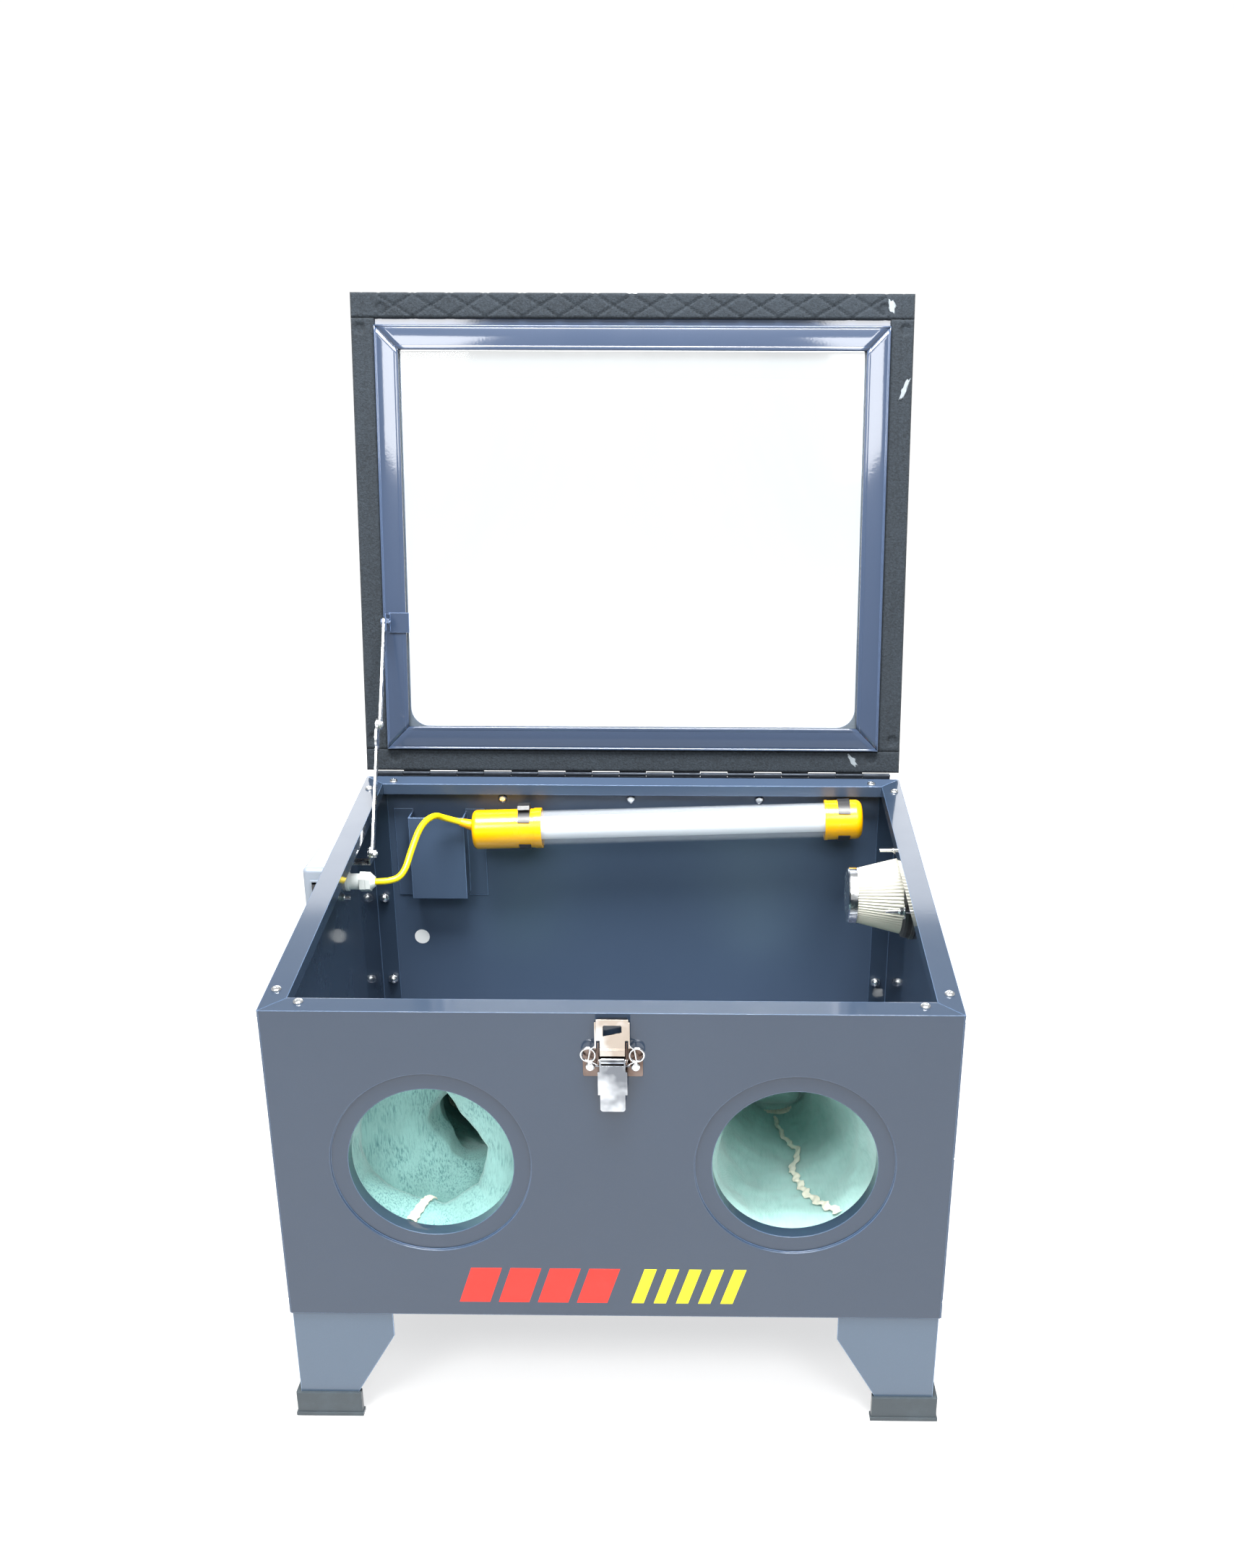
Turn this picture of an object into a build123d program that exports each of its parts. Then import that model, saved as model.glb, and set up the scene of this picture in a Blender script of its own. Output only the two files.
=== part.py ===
from build123d import *
import os
from math import atan2, copysign, cos, degrees, hypot, pi, radians, sin, tan

# Bench sandblast cabinet, millimetres, +Z up, +Y towards the back, lid held open on its stay.
# Cabinet coordinates used by the helpers: x across, y back from the front panel's face,
# z up from the panels' bottom edge. The part's own frame adds Y_FRONT and Z_BASE.

# ---- driving dimensions ----
WIDTH = 590.0            # over the side panels
DEPTH = 490.0            # front face to rear face
FRONT_H = 300.0          # front panel height
REAR_H = 367.0           # rear panel height
LEG_H = 113.0            # leg with its rubber foot
SHEET = 1.2              # sheet steel
STRIP = 21.0             # rim flange width
LIP = 12.0               # down-turned lip on the rim flange
MITRE_GAP = 0.5          # open joint at the rim corners
EDGE_BACK = 0.8          # side panels' edges behind the front and rear faces
LID_LEN = 503.0          # lid, hinge side to front edge
LID_OPEN = 79.33         # lid angle from the level, tilted back
SEAL_BACK = 5.0          # lid skin behind the seal plane
GLOVE_X, GLOVE_Z = 158.0, 155.0
GLOVE_R = 72.0           # glove hole
DISH_R = 88.2            # pressed recess around the glove hole
LATCH_X = 1.5            # latch centre line
Y_FRONT = -295.2         # puts the overall box's middle at y = 0
Z_BASE = LEG_H

HALF_W = WIDTH / 2
INNER_W = HALF_W - SHEET
REAR_IN = DEPTH - SHEET
SLOPE = atan2(REAR_H - FRONT_H, DEPTH)
SLOPE_LEN = hypot(REAR_H - FRONT_H, DEPTH)
OPEN = radians(LID_OPEN)

# hinge barrel, on the line that keeps the seal plane on the rim when the lid is shut
PIN_BACK, PIN_UP = 3.26, 3.10
HINGE_Y, HINGE_Z = DEPTH + PIN_BACK, REAR_H + PIN_UP
BARREL_R, PIN_R, RUN = 2.6, 1.25, 0.05
PIN_S = PIN_BACK * cos(OPEN) + PIN_UP * sin(OPEN)      # the pin in the lid's own directions
PIN_OFF = -PIN_BACK * sin(OPEN) + PIN_UP * cos(OPEN)

UP = (Align.CENTER, Align.CENTER, Align.MIN)
DOWN = (Align.CENTER, Align.CENTER, Align.MAX)
SIDES = ("front", "rear", "left", "right")


# ---- frames and small helpers ----
def at(x, y, z):
    """Point in cabinet coordinates."""
    return (x, Y_FRONT + y, Z_BASE + z)


def facing_front(y):
    """Sketch plane at depth y, drawn in x and z; a positive extrude comes forward."""
    return Plane(origin=at(0, y, 0), x_dir=(1, 0, 0), z_dir=(0, -1, 0))


def facing_side(x):
    """Sketch plane at x, drawn in y and z; a positive extrude goes to +x."""
    return Plane(origin=at(x, 0, 0), x_dir=(0, 1, 0), z_dir=(1, 0, 0))


def level(z):
    """Sketch plane at height z, drawn in x and y."""
    return Plane(origin=at(0, 0, z))


def looking(x, y, z, direction):
    """Plane at a point whose normal is the given direction."""
    return Plane(origin=at(x, y, z), z_dir=direction)


RIM = Plane(origin=at(0, 0, FRONT_H), x_dir=(1, 0, 0), z_dir=(0, -sin(SLOPE), cos(SLOPE)))
LID = Plane(origin=at(0, DEPTH, REAR_H), x_dir=(1, 0, 0), z_dir=(0, -sin(OPEN), cos(OPEN)))


def block(x0, x1, y0, y1, z0, z1, mode=Mode.ADD):
    """Box between two corners in cabinet coordinates."""
    with Locations(at((x0 + x1) / 2, (y0 + y1) / 2, (z0 + z1) / 2)):
        Box(abs(x1 - x0), abs(y1 - y0), abs(z1 - z0), mode=mode)


def disc(plane, radius, length, mode=Mode.ADD):
    """Cylinder that starts on a plane and runs along its normal."""
    with Locations(plane):
        Cylinder(radius, length, align=UP, mode=mode)


def slab(plane, points, amount, mode=Mode.ADD):
    """Polygon on a plane, extruded."""
    with BuildSketch(plane) as outline:
        Polygon(*points, align=None)
    extrude(outline.sketch, amount=amount, mode=mode)


def panel(plane, x0, x1, y0, y1, amount, corner=0.0, mode=Mode.ADD):
    """Rectangle on a plane, with optional round corners, extruded."""
    with BuildSketch(plane) as outline:
        with Locations(((x0 + x1) / 2, (y0 + y1) / 2)):
            if corner:
                RectangleRounded(x1 - x0, y1 - y0, corner)
            else:
                Rectangle(x1 - x0, y1 - y0)
    extrude(outline.sketch, amount=amount, mode=mode)


def ring_side(half, y0, y1, width, side):
    """Mitred side of a rectangular ring, as four corners."""
    i = half - width
    return {
        "front": [(-half, y0), (half, y0), (i, y0 + width), (-i, y0 + width)],
        "rear": [(-half, y1), (-i, y1 - width), (i, y1 - width), (half, y1)],
        "left": [(-half, y0), (-i, y0 + width), (-i, y1 - width), (-half, y1)],
        "right": [(half, y0), (half, y1), (i, y1 - width), (i, y0 + width)],
    }[side]


def rim_flange(side):
    """Sloping top flange of one panel with its down-turned lip, and a fine gap at its mitres."""
    flange = ring_side(HALF_W, 0, SLOPE_LEN, STRIP, side)
    lip = ring_side(HALF_W - STRIP + SHEET, STRIP - SHEET, SLOPE_LEN - STRIP + SHEET, SHEET, side)
    gap = MITRE_GAP if side in ("front", "rear") else 0
    for outline, deep in ((flange, SHEET), (lip, LIP)):
        slab(RIM, [(x - copysign(gap, x), t) for x, t in outline], -deep)


def dome_screw(head_r, head_h, shank_r, shank_len):
    """Pan-head screw along Z, head above the origin."""
    with BuildPart() as screw:
        Cylinder(shank_r, shank_len, align=DOWN)
        Cylinder(head_r, head_h, align=UP)
        fillet(screw.edges().group_by(Axis.Z)[-1], head_h * 0.8)
        with Locations((0, 0, head_h)):
            Box(head_r * 1.1, 0.9, 1.2, mode=Mode.SUBTRACT)
            Box(0.9, head_r * 1.1, 1.2, mode=Mode.SUBTRACT)
    return screw.part


def cap_nut(across, hex_h, dome_r):
    """Domed hexagon nut along Z."""
    with BuildPart() as nut:
        with BuildSketch():
            RegularPolygon(across / 2, 6, major_radius=False)
        extrude(amount=hex_h)
        with Locations((0, 0, hex_h)):
            Sphere(dome_r)
        split(bisect_by=Plane.XY)
    return nut.part


def hex_head(across, height, shank_r, shank_len):
    """Hexagon bolt along Z, head above the origin."""
    with BuildPart() as bolt:
        with BuildSketch():
            RegularPolygon(across / 2, 6, major_radius=False)
        extrude(amount=height)
        fillet(bolt.edges().group_by(Axis.Z)[-1], 0.5)
        Cylinder(shank_r, shank_len, align=DOWN)
    return bolt.part


def place(item, planes):
    """Adds copies of a prepared piece, one on each plane."""
    for plane in planes:
        with Locations(plane):
            add(item)


os.makedirs("parts", exist_ok=True)


def save(built, label):
    built.part.label = label
    export_step(built.part, f"parts/{label}.step")


# ---- sheet-steel cabinet ----
CORNER_X, CORNER_T = 286.0, 34.3      # screws on the side strips, from each end
STRIP_X, STRIP_T = 263.0, 14.1        # screws on the front and rear strips
SCREW_HOLE = 2.2
FLANGE = 18.0                         # bottom and corner return flanges


def rim_screw_spots():
    spots = []
    for sx in (-1, 1):
        for mirrored in (False, True):
            for x, t in ((CORNER_X, CORNER_T), (STRIP_X, STRIP_T)):
                spots.append((sx * x, SLOPE_LEN - t if mirrored else t))
    return spots


def rim_holes():
    with Locations(RIM):
        with Locations(*rim_screw_spots()):
            Cylinder(SCREW_HOLE, 12, mode=Mode.SUBTRACT)


DISH_DEEP, COLLAR_LEN = 2.6, 15.0
EDGE_BOLT_Y, EDGE_BOLT_Z = 12.0, (7.0, 157.0, 288.0)
CORNER_FLANGE = 20.0
with BuildPart() as front_panel:
    rise = SHEET * tan(SLOPE)
    slab(facing_side(-INNER_W), [(0, 0), (SHEET, 0), (SHEET, FRONT_H + rise), (0, FRONT_H)], 2 * INNER_W)
    block(-INNER_W + 20, INNER_W - 20, 0, FLANGE, 0, SHEET)
    rim_flange("front")
    for side in (-1, 1):
        face = looking(side * GLOVE_X, 0, GLOVE_Z, (0, 1, 0))
        disc(face, DISH_R, SHEET, mode=Mode.SUBTRACT)
        disc(face, DISH_R, DISH_DEEP + SHEET)
        disc(face, DISH_R - SHEET, DISH_DEEP, mode=Mode.SUBTRACT)
        disc(face, GLOVE_R + SHEET, DISH_DEEP + COLLAR_LEN)
        disc(face, DISH_R - SHEET, DISH_DEEP, mode=Mode.SUBTRACT)
        disc(face, GLOVE_R, DISH_DEEP + COLLAR_LEN, mode=Mode.SUBTRACT)
    for side in (-1, 1):
        block(side * (INNER_W - SHEET), side * INNER_W, SHEET, CORNER_FLANGE, 20, FRONT_H - 6)
        for z in EDGE_BOLT_Z[1:]:
            disc(looking(side * (HALF_W + 1), EDGE_BOLT_Y, z, (-side, 0, 0)), 3.1, 5, mode=Mode.SUBTRACT)
    for x in (-19.1, 19.1):
        disc(looking(LATCH_X + x, -1, 251.6, (0, 1, 0)), SCREW_HOLE, 4, mode=Mode.SUBTRACT)
    rim_holes()
    rings = front_panel.edges().filter_by(GeomType.CIRCLE)
    lip_radius = DISH_R - SHEET
    fillet([e for e in rings if abs(e.radius - lip_radius) < 0.01 and e.center().Y < Y_FRONT + 0.1], 0.8)
save(front_panel, "front_panel")

OUTLET_X, OUTLET_Z, OUTLET_R = -216.5, 270.0, 25.0
REAR_NUTS = [(-281.0, 125.5), (281.0, 125.5), (-284.5, 226.0)]
TOP_SCREW_X, TOP_SCREW_Z = (-145.0, -2.0, 141.0), 343.0
with BuildPart() as rear_panel:
    web = [(REAR_IN, 0), (DEPTH, 0), (DEPTH, REAR_H), (REAR_IN, REAR_H - SHEET * tan(SLOPE))]
    slab(facing_side(-INNER_W), web, 2 * INNER_W)
    block(-INNER_W + 20, INNER_W - 20, DEPTH - FLANGE, DEPTH, 0, SHEET)
    rim_flange("rear")
    disc(looking(OUTLET_X, REAR_IN - 1, OUTLET_Z, (0, 1, 0)), OUTLET_R - 1.5, 4, mode=Mode.SUBTRACT)
    for x in TOP_SCREW_X:
        disc(looking(x, REAR_IN - 1, TOP_SCREW_Z, (0, 1, 0)), SCREW_HOLE, 4, mode=Mode.SUBTRACT)
    for x, z in REAR_NUTS:
        disc(looking(x, REAR_IN - 1, z, (0, 1, 0)), 3.1, 4, mode=Mode.SUBTRACT)
    rim_holes()
save(rear_panel, "rear_panel")

GLAND_Y, GLAND_Z = 349.0, 292.5
FILTER_Y, FILTER_Z = 330.0, 287.6
INLET_Y, INLET_Z = 420.0, 75.0


def side_panel(side, side_name, openings):
    """Side panel with its flanges; openings are (y, z, radius)."""
    outer, inner = side * HALF_W, side * INNER_W
    low, high = min(outer, inner), max(outer, inner)
    with BuildPart() as built:
        y0, y1 = EDGE_BACK, DEPTH - EDGE_BACK
        rise = EDGE_BACK * tan(SLOPE)
        slab(facing_side(low), [(y0, 0), (y1, 0), (y1, REAR_H - rise), (y0, FRONT_H + rise)], high - low)
        block(inner, side * (INNER_W - FLANGE), SHEET, REAR_IN, 0, SHEET)
        block(inner, side * (INNER_W - CORNER_FLANGE), REAR_IN - SHEET, REAR_IN, 20, REAR_H - 20)
        rim_flange(side_name)
        for y, z, radius in openings:
            disc(looking(side * (HALF_W + 1), y, z, (-side, 0, 0)), radius, 5, mode=Mode.SUBTRACT)
        for x, z in REAR_NUTS:
            if x * side > 0:
                disc(looking(x, REAR_IN - 3, z, (0, 1, 0)), 3.1, 4, mode=Mode.SUBTRACT)
        for z in EDGE_BOLT_Z:
            disc(looking(side * (HALF_W + 1), EDGE_BOLT_Y, z, (-side, 0, 0)), 3.1, 3, mode=Mode.SUBTRACT)
        rim_holes()
    return built


left_panel = side_panel(-1, "left", [(GLAND_Y, GLAND_Z, 6.2)])
save(left_panel, "left_panel")
right_panel = side_panel(1, "right", [(FILTER_Y, FILTER_Z, 24.0), (INLET_Y, INLET_Z, 7.0)])
save(right_panel, "right_panel")

with BuildPart() as floor_pan:
    block(-INNER_W + 0.5, INNER_W - 0.5, 2 * SHEET + 0.2, REAR_IN - SHEET - 0.2, SHEET, 2 * SHEET)
    block(-INNER_W + 0.5, INNER_W - 0.5, 2 * SHEET + 0.2, 3 * SHEET + 0.2, SHEET, 16)
    block(-INNER_W + 0.5, INNER_W - 0.5, REAR_IN - 2 * SHEET - 0.2, REAR_IN - SHEET - 0.2, SHEET, 16)
    for side in (-1, 1):
        block(side * (INNER_W - 0.5), side * (INNER_W - 0.5 - SHEET), 3, REAR_IN - 2, SHEET, 16)
        disc(looking(side * HALF_W, EDGE_BOLT_Y, EDGE_BOLT_Z[0], (-side, 0, 0)), 3.1, 5, mode=Mode.SUBTRACT)
save(floor_pan, "floor_pan")

GUSSET_W, GUSSET_L, GUSSET_T = 17.5, 50.0, 1.5
with BuildPart() as corner_gussets:
    a, b = 0.6 + SHEET, 0.6 + SHEET + GUSSET_W
    for sx in (-1, 1):
        for near in (True, False):
            corner = [(a, a), (GUSSET_L, a), (GUSSET_L, b), (b, b), (b, GUSSET_L), (a, GUSSET_L)]
            points = [(sx * (HALF_W - x), t if near else SLOPE_LEN - t) for x, t in corner]
            slab(RIM.offset(-SHEET), points, -GUSSET_T)
    rim_holes()
save(corner_gussets, "corner_gussets")

HEAD_R, HEAD_H = 4.4, 2.2
rim_screw = dome_screw(HEAD_R, HEAD_H, 2.1, 7.0)
with BuildPart() as rim_screws:
    with Locations(RIM):
        with Locations(*rim_screw_spots()):
            add(rim_screw)
save(rim_screws, "rim_screws")

# domed nuts inside the back corners, with their bolts outside
wall_nut = cap_nut(10.0, 4.5, 4.6)
wall_bolt = hex_head(10.0, 3.6, 3.0, SHEET)
with BuildPart() as wall_bolts:
    place(wall_nut, [looking(x, REAR_IN - SHEET, z, (0, -1, 0)) for x, z in REAR_NUTS])
    place(wall_bolt, [looking(x, DEPTH, z, (0, 1, 0)) for x, z in REAR_NUTS])
    for x, z in REAR_NUTS:
        disc(looking(x, REAR_IN - SHEET, z, (0, 1, 0)), 3.0, 2 * SHEET)
save(wall_bolts, "wall_bolts")

edge_bolt = hex_head(9.0, 3.2, 3.0, 8.0)
with BuildPart() as side_bolts:
    place(edge_bolt, [looking(s * HALF_W, EDGE_BOLT_Y, z, (s, 0, 0)) for s in (-1, 1) for z in EDGE_BOLT_Z])
save(side_bolts, "side_bolts")

# ---- legs and rubber feet ----
LEG_TOP, LEG_FOOT, LEG_KINK = 91.0, 53.6, -25.0
FOOT_TOP = -88.0
LEG_SHEET = 2.0


def leg(sx, back):
    """Folded corner leg: two tapering faces and a bolting flange under the floor."""
    corner = HALF_W - 2.0
    near = 2.0 if not back else DEPTH - 2.0
    inward = 1 if not back else -1
    taper = [(0, 0), (LEG_TOP, 0), (LEG_TOP, LEG_KINK), (LEG_FOOT, FOOT_TOP),
             (LEG_FOOT, -LEG_H + 4), (0, -LEG_H + 4)]
    with BuildPart() as built:
        slab(facing_front(near), [(sx * (corner - u), z) for u, z in taper], -LEG_SHEET * inward)
        side_plane = facing_side(sx * corner)
        slab(side_plane, [(near + inward * u, z) for u, z in taper], -LEG_SHEET * sx)
        block(sx * corner, sx * (corner - LEG_TOP), near, near + inward * 26, -LEG_SHEET, 0)
        block(sx * corner, sx * (corner - 26), near, near + inward * LEG_TOP, -LEG_SHEET, 0)
        bends = built.edges().filter_by(lambda e: abs(e.center().Z - Z_BASE) < 0.01).filter_by(
            lambda e: abs(e.center().Y - Y_FRONT - near) < 0.01 or abs(e.center().X - sx * corner) < 0.01)
        fillet(bends, 1.8)
    return built


LEG_NAMES = {(-1, False): "leg_front_left", (1, False): "leg_front_right",
             (-1, True): "leg_rear_left", (1, True): "leg_rear_right"}
for (leg_side, leg_back), leg_name in LEG_NAMES.items():
    built_leg = leg(leg_side, leg_back)
    save(built_leg, leg_name)

FOOT_X, FOOT_Y, FOOT_LEN = 297.5, -0.8, 60.5


def foot_outline(sx, back, grow, reach, thick_x, thick_y):
    """L-shaped outline round a leg's two faces; grow is how far outside the cap's corner it starts."""
    ell = [(-grow, -grow), (reach, -grow), (reach, thick_y), (thick_x, thick_y),
           (thick_x, reach), (-grow, reach)]
    return [(sx * (FOOT_X - u), DEPTH - FOOT_Y - v if back else FOOT_Y + v) for u, v in ell]


with BuildPart() as foot_caps:
    feet = [(sx, back) for sx in (-1, 1) for back in (False, True)]
    for foot in feet:
        slab(level(-LEG_H), foot_outline(*foot, 0, FOOT_LEN, 9.5, 7.8), LEG_H + FOOT_TOP)
    fillet(foot_caps.edges().filter_by(Axis.Z), 1.2)
    for foot in feet:
        slab(level(-LEG_H), foot_outline(*foot, 1.0, FOOT_LEN + 1.0, 10.5, 8.8), 3.5)
    for sx, back in feet:
        ell = [(4.4, 2.7), (58.5, 2.7), (58.5, 4.9), (6.6, 4.9), (6.6, 57.0), (4.4, 57.0)]
        slot = [(sx * (FOOT_X - u), DEPTH - FOOT_Y - v if back else FOOT_Y + v) for u, v in ell]
        slab(level(-LEG_H + 4), slot, 40, mode=Mode.SUBTRACT)
save(foot_caps, "foot_caps")

# ---- inside of the cabinet ----
GRATE_Z = 60.0
with BuildPart() as grate_rails:
    for y0, y1, sign in ((3, 24, 1), (REAR_IN - 24, REAR_IN - 3, -1)):
        wall_y = y0 if sign > 0 else y1
        block(-250, 250, y0, y1, GRATE_Z - 2, GRATE_Z)
        block(-250, 250, wall_y, wall_y + sign * 2, GRATE_Z - 22, GRATE_Z)
    for side in (-1, 1):
        block(side * (INNER_W - 0.2), side * (INNER_W - 22), 30, REAR_IN - 30, GRATE_Z - 2, GRATE_Z)
        block(side * (INNER_W - 0.2), side * (INNER_W - 2.2), 30, REAR_IN - 30, GRATE_Z - 22, GRATE_Z)
save(grate_rails, "grate_rails")

GRATE_T, SLOT_W, SLOT_L = 2.0, 9.0, 60.0
with BuildPart() as work_grate:
    block(-288, 288, 6, REAR_IN - 6, GRATE_Z, GRATE_Z + GRATE_T)
    with BuildSketch(level(GRATE_Z)):
        with Locations((0, DEPTH / 2)):
            with GridLocations(74, 20, 7, 21):
                SlotOverall(SLOT_L, SLOT_W)
    extrude(amount=GRATE_T, mode=Mode.SUBTRACT)
save(work_grate, "work_grate")

BAFFLE_X0, BAFFLE_X1, BAFFLE_Z0, BAFFLE_Z1, BAFFLE_Y = -247.0, -186.0, 234.0, 328.0, 461.0
with BuildPart() as rear_baffle:
    wall_y = REAR_IN - 0.1
    block(BAFFLE_X0, BAFFLE_X1, BAFFLE_Y, BAFFLE_Y + SHEET, BAFFLE_Z0, BAFFLE_Z1)
    block(BAFFLE_X0, BAFFLE_X0 + SHEET, BAFFLE_Y, wall_y, BAFFLE_Z0, BAFFLE_Z1)
    block(BAFFLE_X1 - SHEET, BAFFLE_X1, BAFFLE_Y, wall_y, BAFFLE_Z0, BAFFLE_Z1)
    block(BAFFLE_X0 - 20, BAFFLE_X0 + SHEET, wall_y - SHEET, wall_y, BAFFLE_Z0 - 5, BAFFLE_Z1 + 3)
    block(BAFFLE_X1 - SHEET, BAFFLE_X1 + 20, wall_y - SHEET, wall_y, BAFFLE_Z0 - 5, BAFFLE_Z1 + 3)
save(rear_baffle, "rear_baffle")

top_screw = dome_screw(5.0, 3.4, 2.1, SHEET)
LONG_SCREW_Y, LONG_SCREW_Z = 455.0, 297.0
SMALL_SCREW_Y, SMALL_SCREW_Z = 322.0, 284.0
with BuildPart() as wall_screws:
    place(top_screw, [looking(x, REAR_IN, TOP_SCREW_Z, (0, -1, 0)) for x in TOP_SCREW_X])
    for side, y, z in ((1, LONG_SCREW_Y, LONG_SCREW_Z), (-1, SMALL_SCREW_Y, SMALL_SCREW_Z)):
        wall_point = looking(side * INNER_W, y, z, (-side, 0, 0))
        disc(wall_point, 1.9, 9)
        place(cap_nut(7.0, 3.0, 1.0), [wall_point])
save(wall_screws, "wall_screws")

# ---- air filter on the right wall, axis along x ----
CONE_BIG_X, CONE_BIG_R, CONE_SMALL_X, CONE_SMALL_R = 280.3, 39.2, 231.0, 26.8
PLEAT_DEEP = 8.0


def revolved(points, y, z):
    """Profile of (x, radius) points turned about the line along x through (y, z)."""
    with BuildSketch(Plane(origin=at(0, y, z), x_dir=(1, 0, 0), z_dir=(0, -1, 0))) as profile:
        Polygon(*points, align=None)
    revolve(profile.sketch, axis=Axis(at(0, y, z), (1, 0, 0)))


with BuildPart() as filter_element:
    revolved([(CONE_SMALL_X, CONE_SMALL_R - PLEAT_DEEP), (CONE_SMALL_X, CONE_SMALL_R),
              (CONE_BIG_X, CONE_BIG_R), (CONE_BIG_X, CONE_BIG_R - PLEAT_DEEP)], FILTER_Y, FILTER_Z)
save(filter_element, "filter_element")

CUP_R = 28.8
with BuildPart() as filter_end_cap:
    revolved([(CONE_SMALL_X - 4.5, 0), (CONE_SMALL_X - 4.5, CUP_R - 1.5), (CONE_SMALL_X - 3.2, CUP_R),
              (CONE_SMALL_X + 4.5, CUP_R), (CONE_SMALL_X + 4.5, CUP_R - 0.8),
              (CONE_SMALL_X - 0.2, CUP_R - 0.8), (CONE_SMALL_X - 0.2, 0)], FILTER_Y, FILTER_Z)
save(filter_end_cap, "filter_end_cap")

RING_R = 43.5
with BuildPart() as filter_base_ring:
    revolved([(CONE_BIG_X + 0.1, 28), (CONE_BIG_X + 0.1, CONE_BIG_R - 1), (CONE_BIG_X + 2.5, RING_R - 1),
              (CONE_BIG_X + 5, RING_R), (CONE_BIG_X + 9.5, RING_R), (CONE_BIG_X + 9.5, 28)],
             FILTER_Y, FILTER_Z)
save(filter_base_ring, "filter_base_ring")

with BuildPart() as filter_gasket:
    disc(looking(CONE_BIG_X + 9.7, FILTER_Y, FILTER_Z, (1, 0, 0)), 45.0, INNER_W - CONE_BIG_X - 9.9)
    disc(looking(CONE_BIG_X + 9.0, FILTER_Y, FILTER_Z, (1, 0, 0)), 25.0, 9, mode=Mode.SUBTRACT)
save(filter_gasket, "filter_gasket")

rods_at = [(FILTER_Y - 47.5, FILTER_Z), (FILTER_Y + 23.75, FILTER_Z - 41.1),
           (FILTER_Y + 23.75, FILTER_Z + 41.1)]
rod_nut = cap_nut(7.5, 4.0, 2.5)
with BuildPart() as filter_rods:
    for y, z in rods_at:
        disc(looking(INNER_W, y, z, (-1, 0, 0)), 1.8, 33)
        disc(looking(CONE_BIG_X + 0.05, y, z, (-1, 0, 0)), 8.0, 1.2)
    place(rod_nut, [looking(CONE_BIG_X - 1.1, y, z, (-1, 0, 0)) for y, z in rods_at])
save(filter_rods, "filter_rods")

# ---- inspection lamp along the rear wall, rising slightly to the right ----
LAMP_TILT = radians(2.0)
LAMP_AXIS = (cos(LAMP_TILT), 0, sin(LAMP_TILT))
LAMP_START = (-174.0, 455.0, 316.7)
LAMP_LEN, CAP_L, CAP_R, COLLAR_L = 426.3, 76.0, 41.0, 8.0
LAMP_R, TUBE_R, TUBE_T, CORE_R = 21.5, 19.0, 1.5, 12.5
LAMP = Plane(origin=at(*LAMP_START), x_dir=(0, -1, 0), z_dir=LAMP_AXIS)

with BuildPart() as lamp_cap_left:
    disc(LAMP, LAMP_R, CAP_L)
    fillet(lamp_cap_left.edges().filter_by(GeomType.CIRCLE).sort_by(Axis.X)[0], 5.0)
    disc(LAMP.offset(CAP_L - COLLAR_L), LAMP_R + 0.6, COLLAR_L)
    disc(LAMP.offset(12), TUBE_R + 0.2, CAP_L, mode=Mode.SUBTRACT)
save(lamp_cap_left, "lamp_cap_left")

with BuildPart() as lamp_cap_right:
    disc(LAMP.offset(LAMP_LEN - CAP_R), LAMP_R, CAP_R)
    fillet(lamp_cap_right.edges().filter_by(GeomType.CIRCLE).sort_by(Axis.X)[-1], 7.5)
    disc(LAMP.offset(LAMP_LEN - CAP_R), LAMP_R + 0.5, 3.0)
    disc(LAMP.offset(LAMP_LEN - CAP_R - 1), TUBE_R + 0.2, CAP_R - 9, mode=Mode.SUBTRACT)
save(lamp_cap_right, "lamp_cap_right")

with BuildPart() as lamp_tube:
    disc(LAMP.offset(12.1), TUBE_R, LAMP_LEN - 22.3)
    disc(LAMP.offset(12.1), TUBE_R - TUBE_T, LAMP_LEN - 22.3, mode=Mode.SUBTRACT)
save(lamp_tube, "lamp_tube")

with BuildPart() as lamp_core:
    disc(LAMP.offset(12.1), CORE_R, LAMP_LEN - 22.3)
save(lamp_core, "lamp_core")

CLIP_AT, CLIP_W, CLIP_T = (51.0, 399.5), 13.0, 1.3
FOLD = [(-4, 22.2), (-4, 28), (8, 28), (11.4, 24.2), (10.4, 23.4), (7.4, 26.7), (-2.7, 26.7), (-2.7, 22.2)]
with BuildPart() as lamp_clips:
    for along in CLIP_AT:
        x, y, z = (LAMP_START[i] + along * LAMP_AXIS[i] for i in range(3))
        disc(LAMP.offset(along), LAMP_R + 0.1 + CLIP_T, CLIP_W)
        disc(LAMP.offset(along - 1), LAMP_R + 0.1, CLIP_W + 2, mode=Mode.SUBTRACT)
        block(x - 2, x + CLIP_W + 2, y - 26, y - 8, z - 12.5, z + 12.5, mode=Mode.SUBTRACT)
        block(x, x + CLIP_W, y + LAMP_R + 0.8, REAR_IN - 0.1, z - 4, z + 4)
        block(x, x + CLIP_W, REAR_IN - 2.1, REAR_IN - 0.1, z - 17, z + 12)
    slab(LAMP.offset(CLIP_AT[0]), [(front, -up) for front, up in FOLD], CLIP_W)
save(lamp_clips, "lamp_clips")

BOOT_DIR = (-0.914, -0.244, 0.324)
BOOT_AT = (-173.9, 455.0, 321.6)
BOOT_LEN, CABLE_R = 16.0, 3.4
with BuildPart() as lamp_boot:
    with Locations(looking(*BOOT_AT, BOOT_DIR)):
        Cone(6.2, 4.2, BOOT_LEN, align=UP)
    split(bisect_by=LAMP.offset(-0.05), keep=Keep.BOTTOM)
save(lamp_boot, "lamp_boot")

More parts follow.
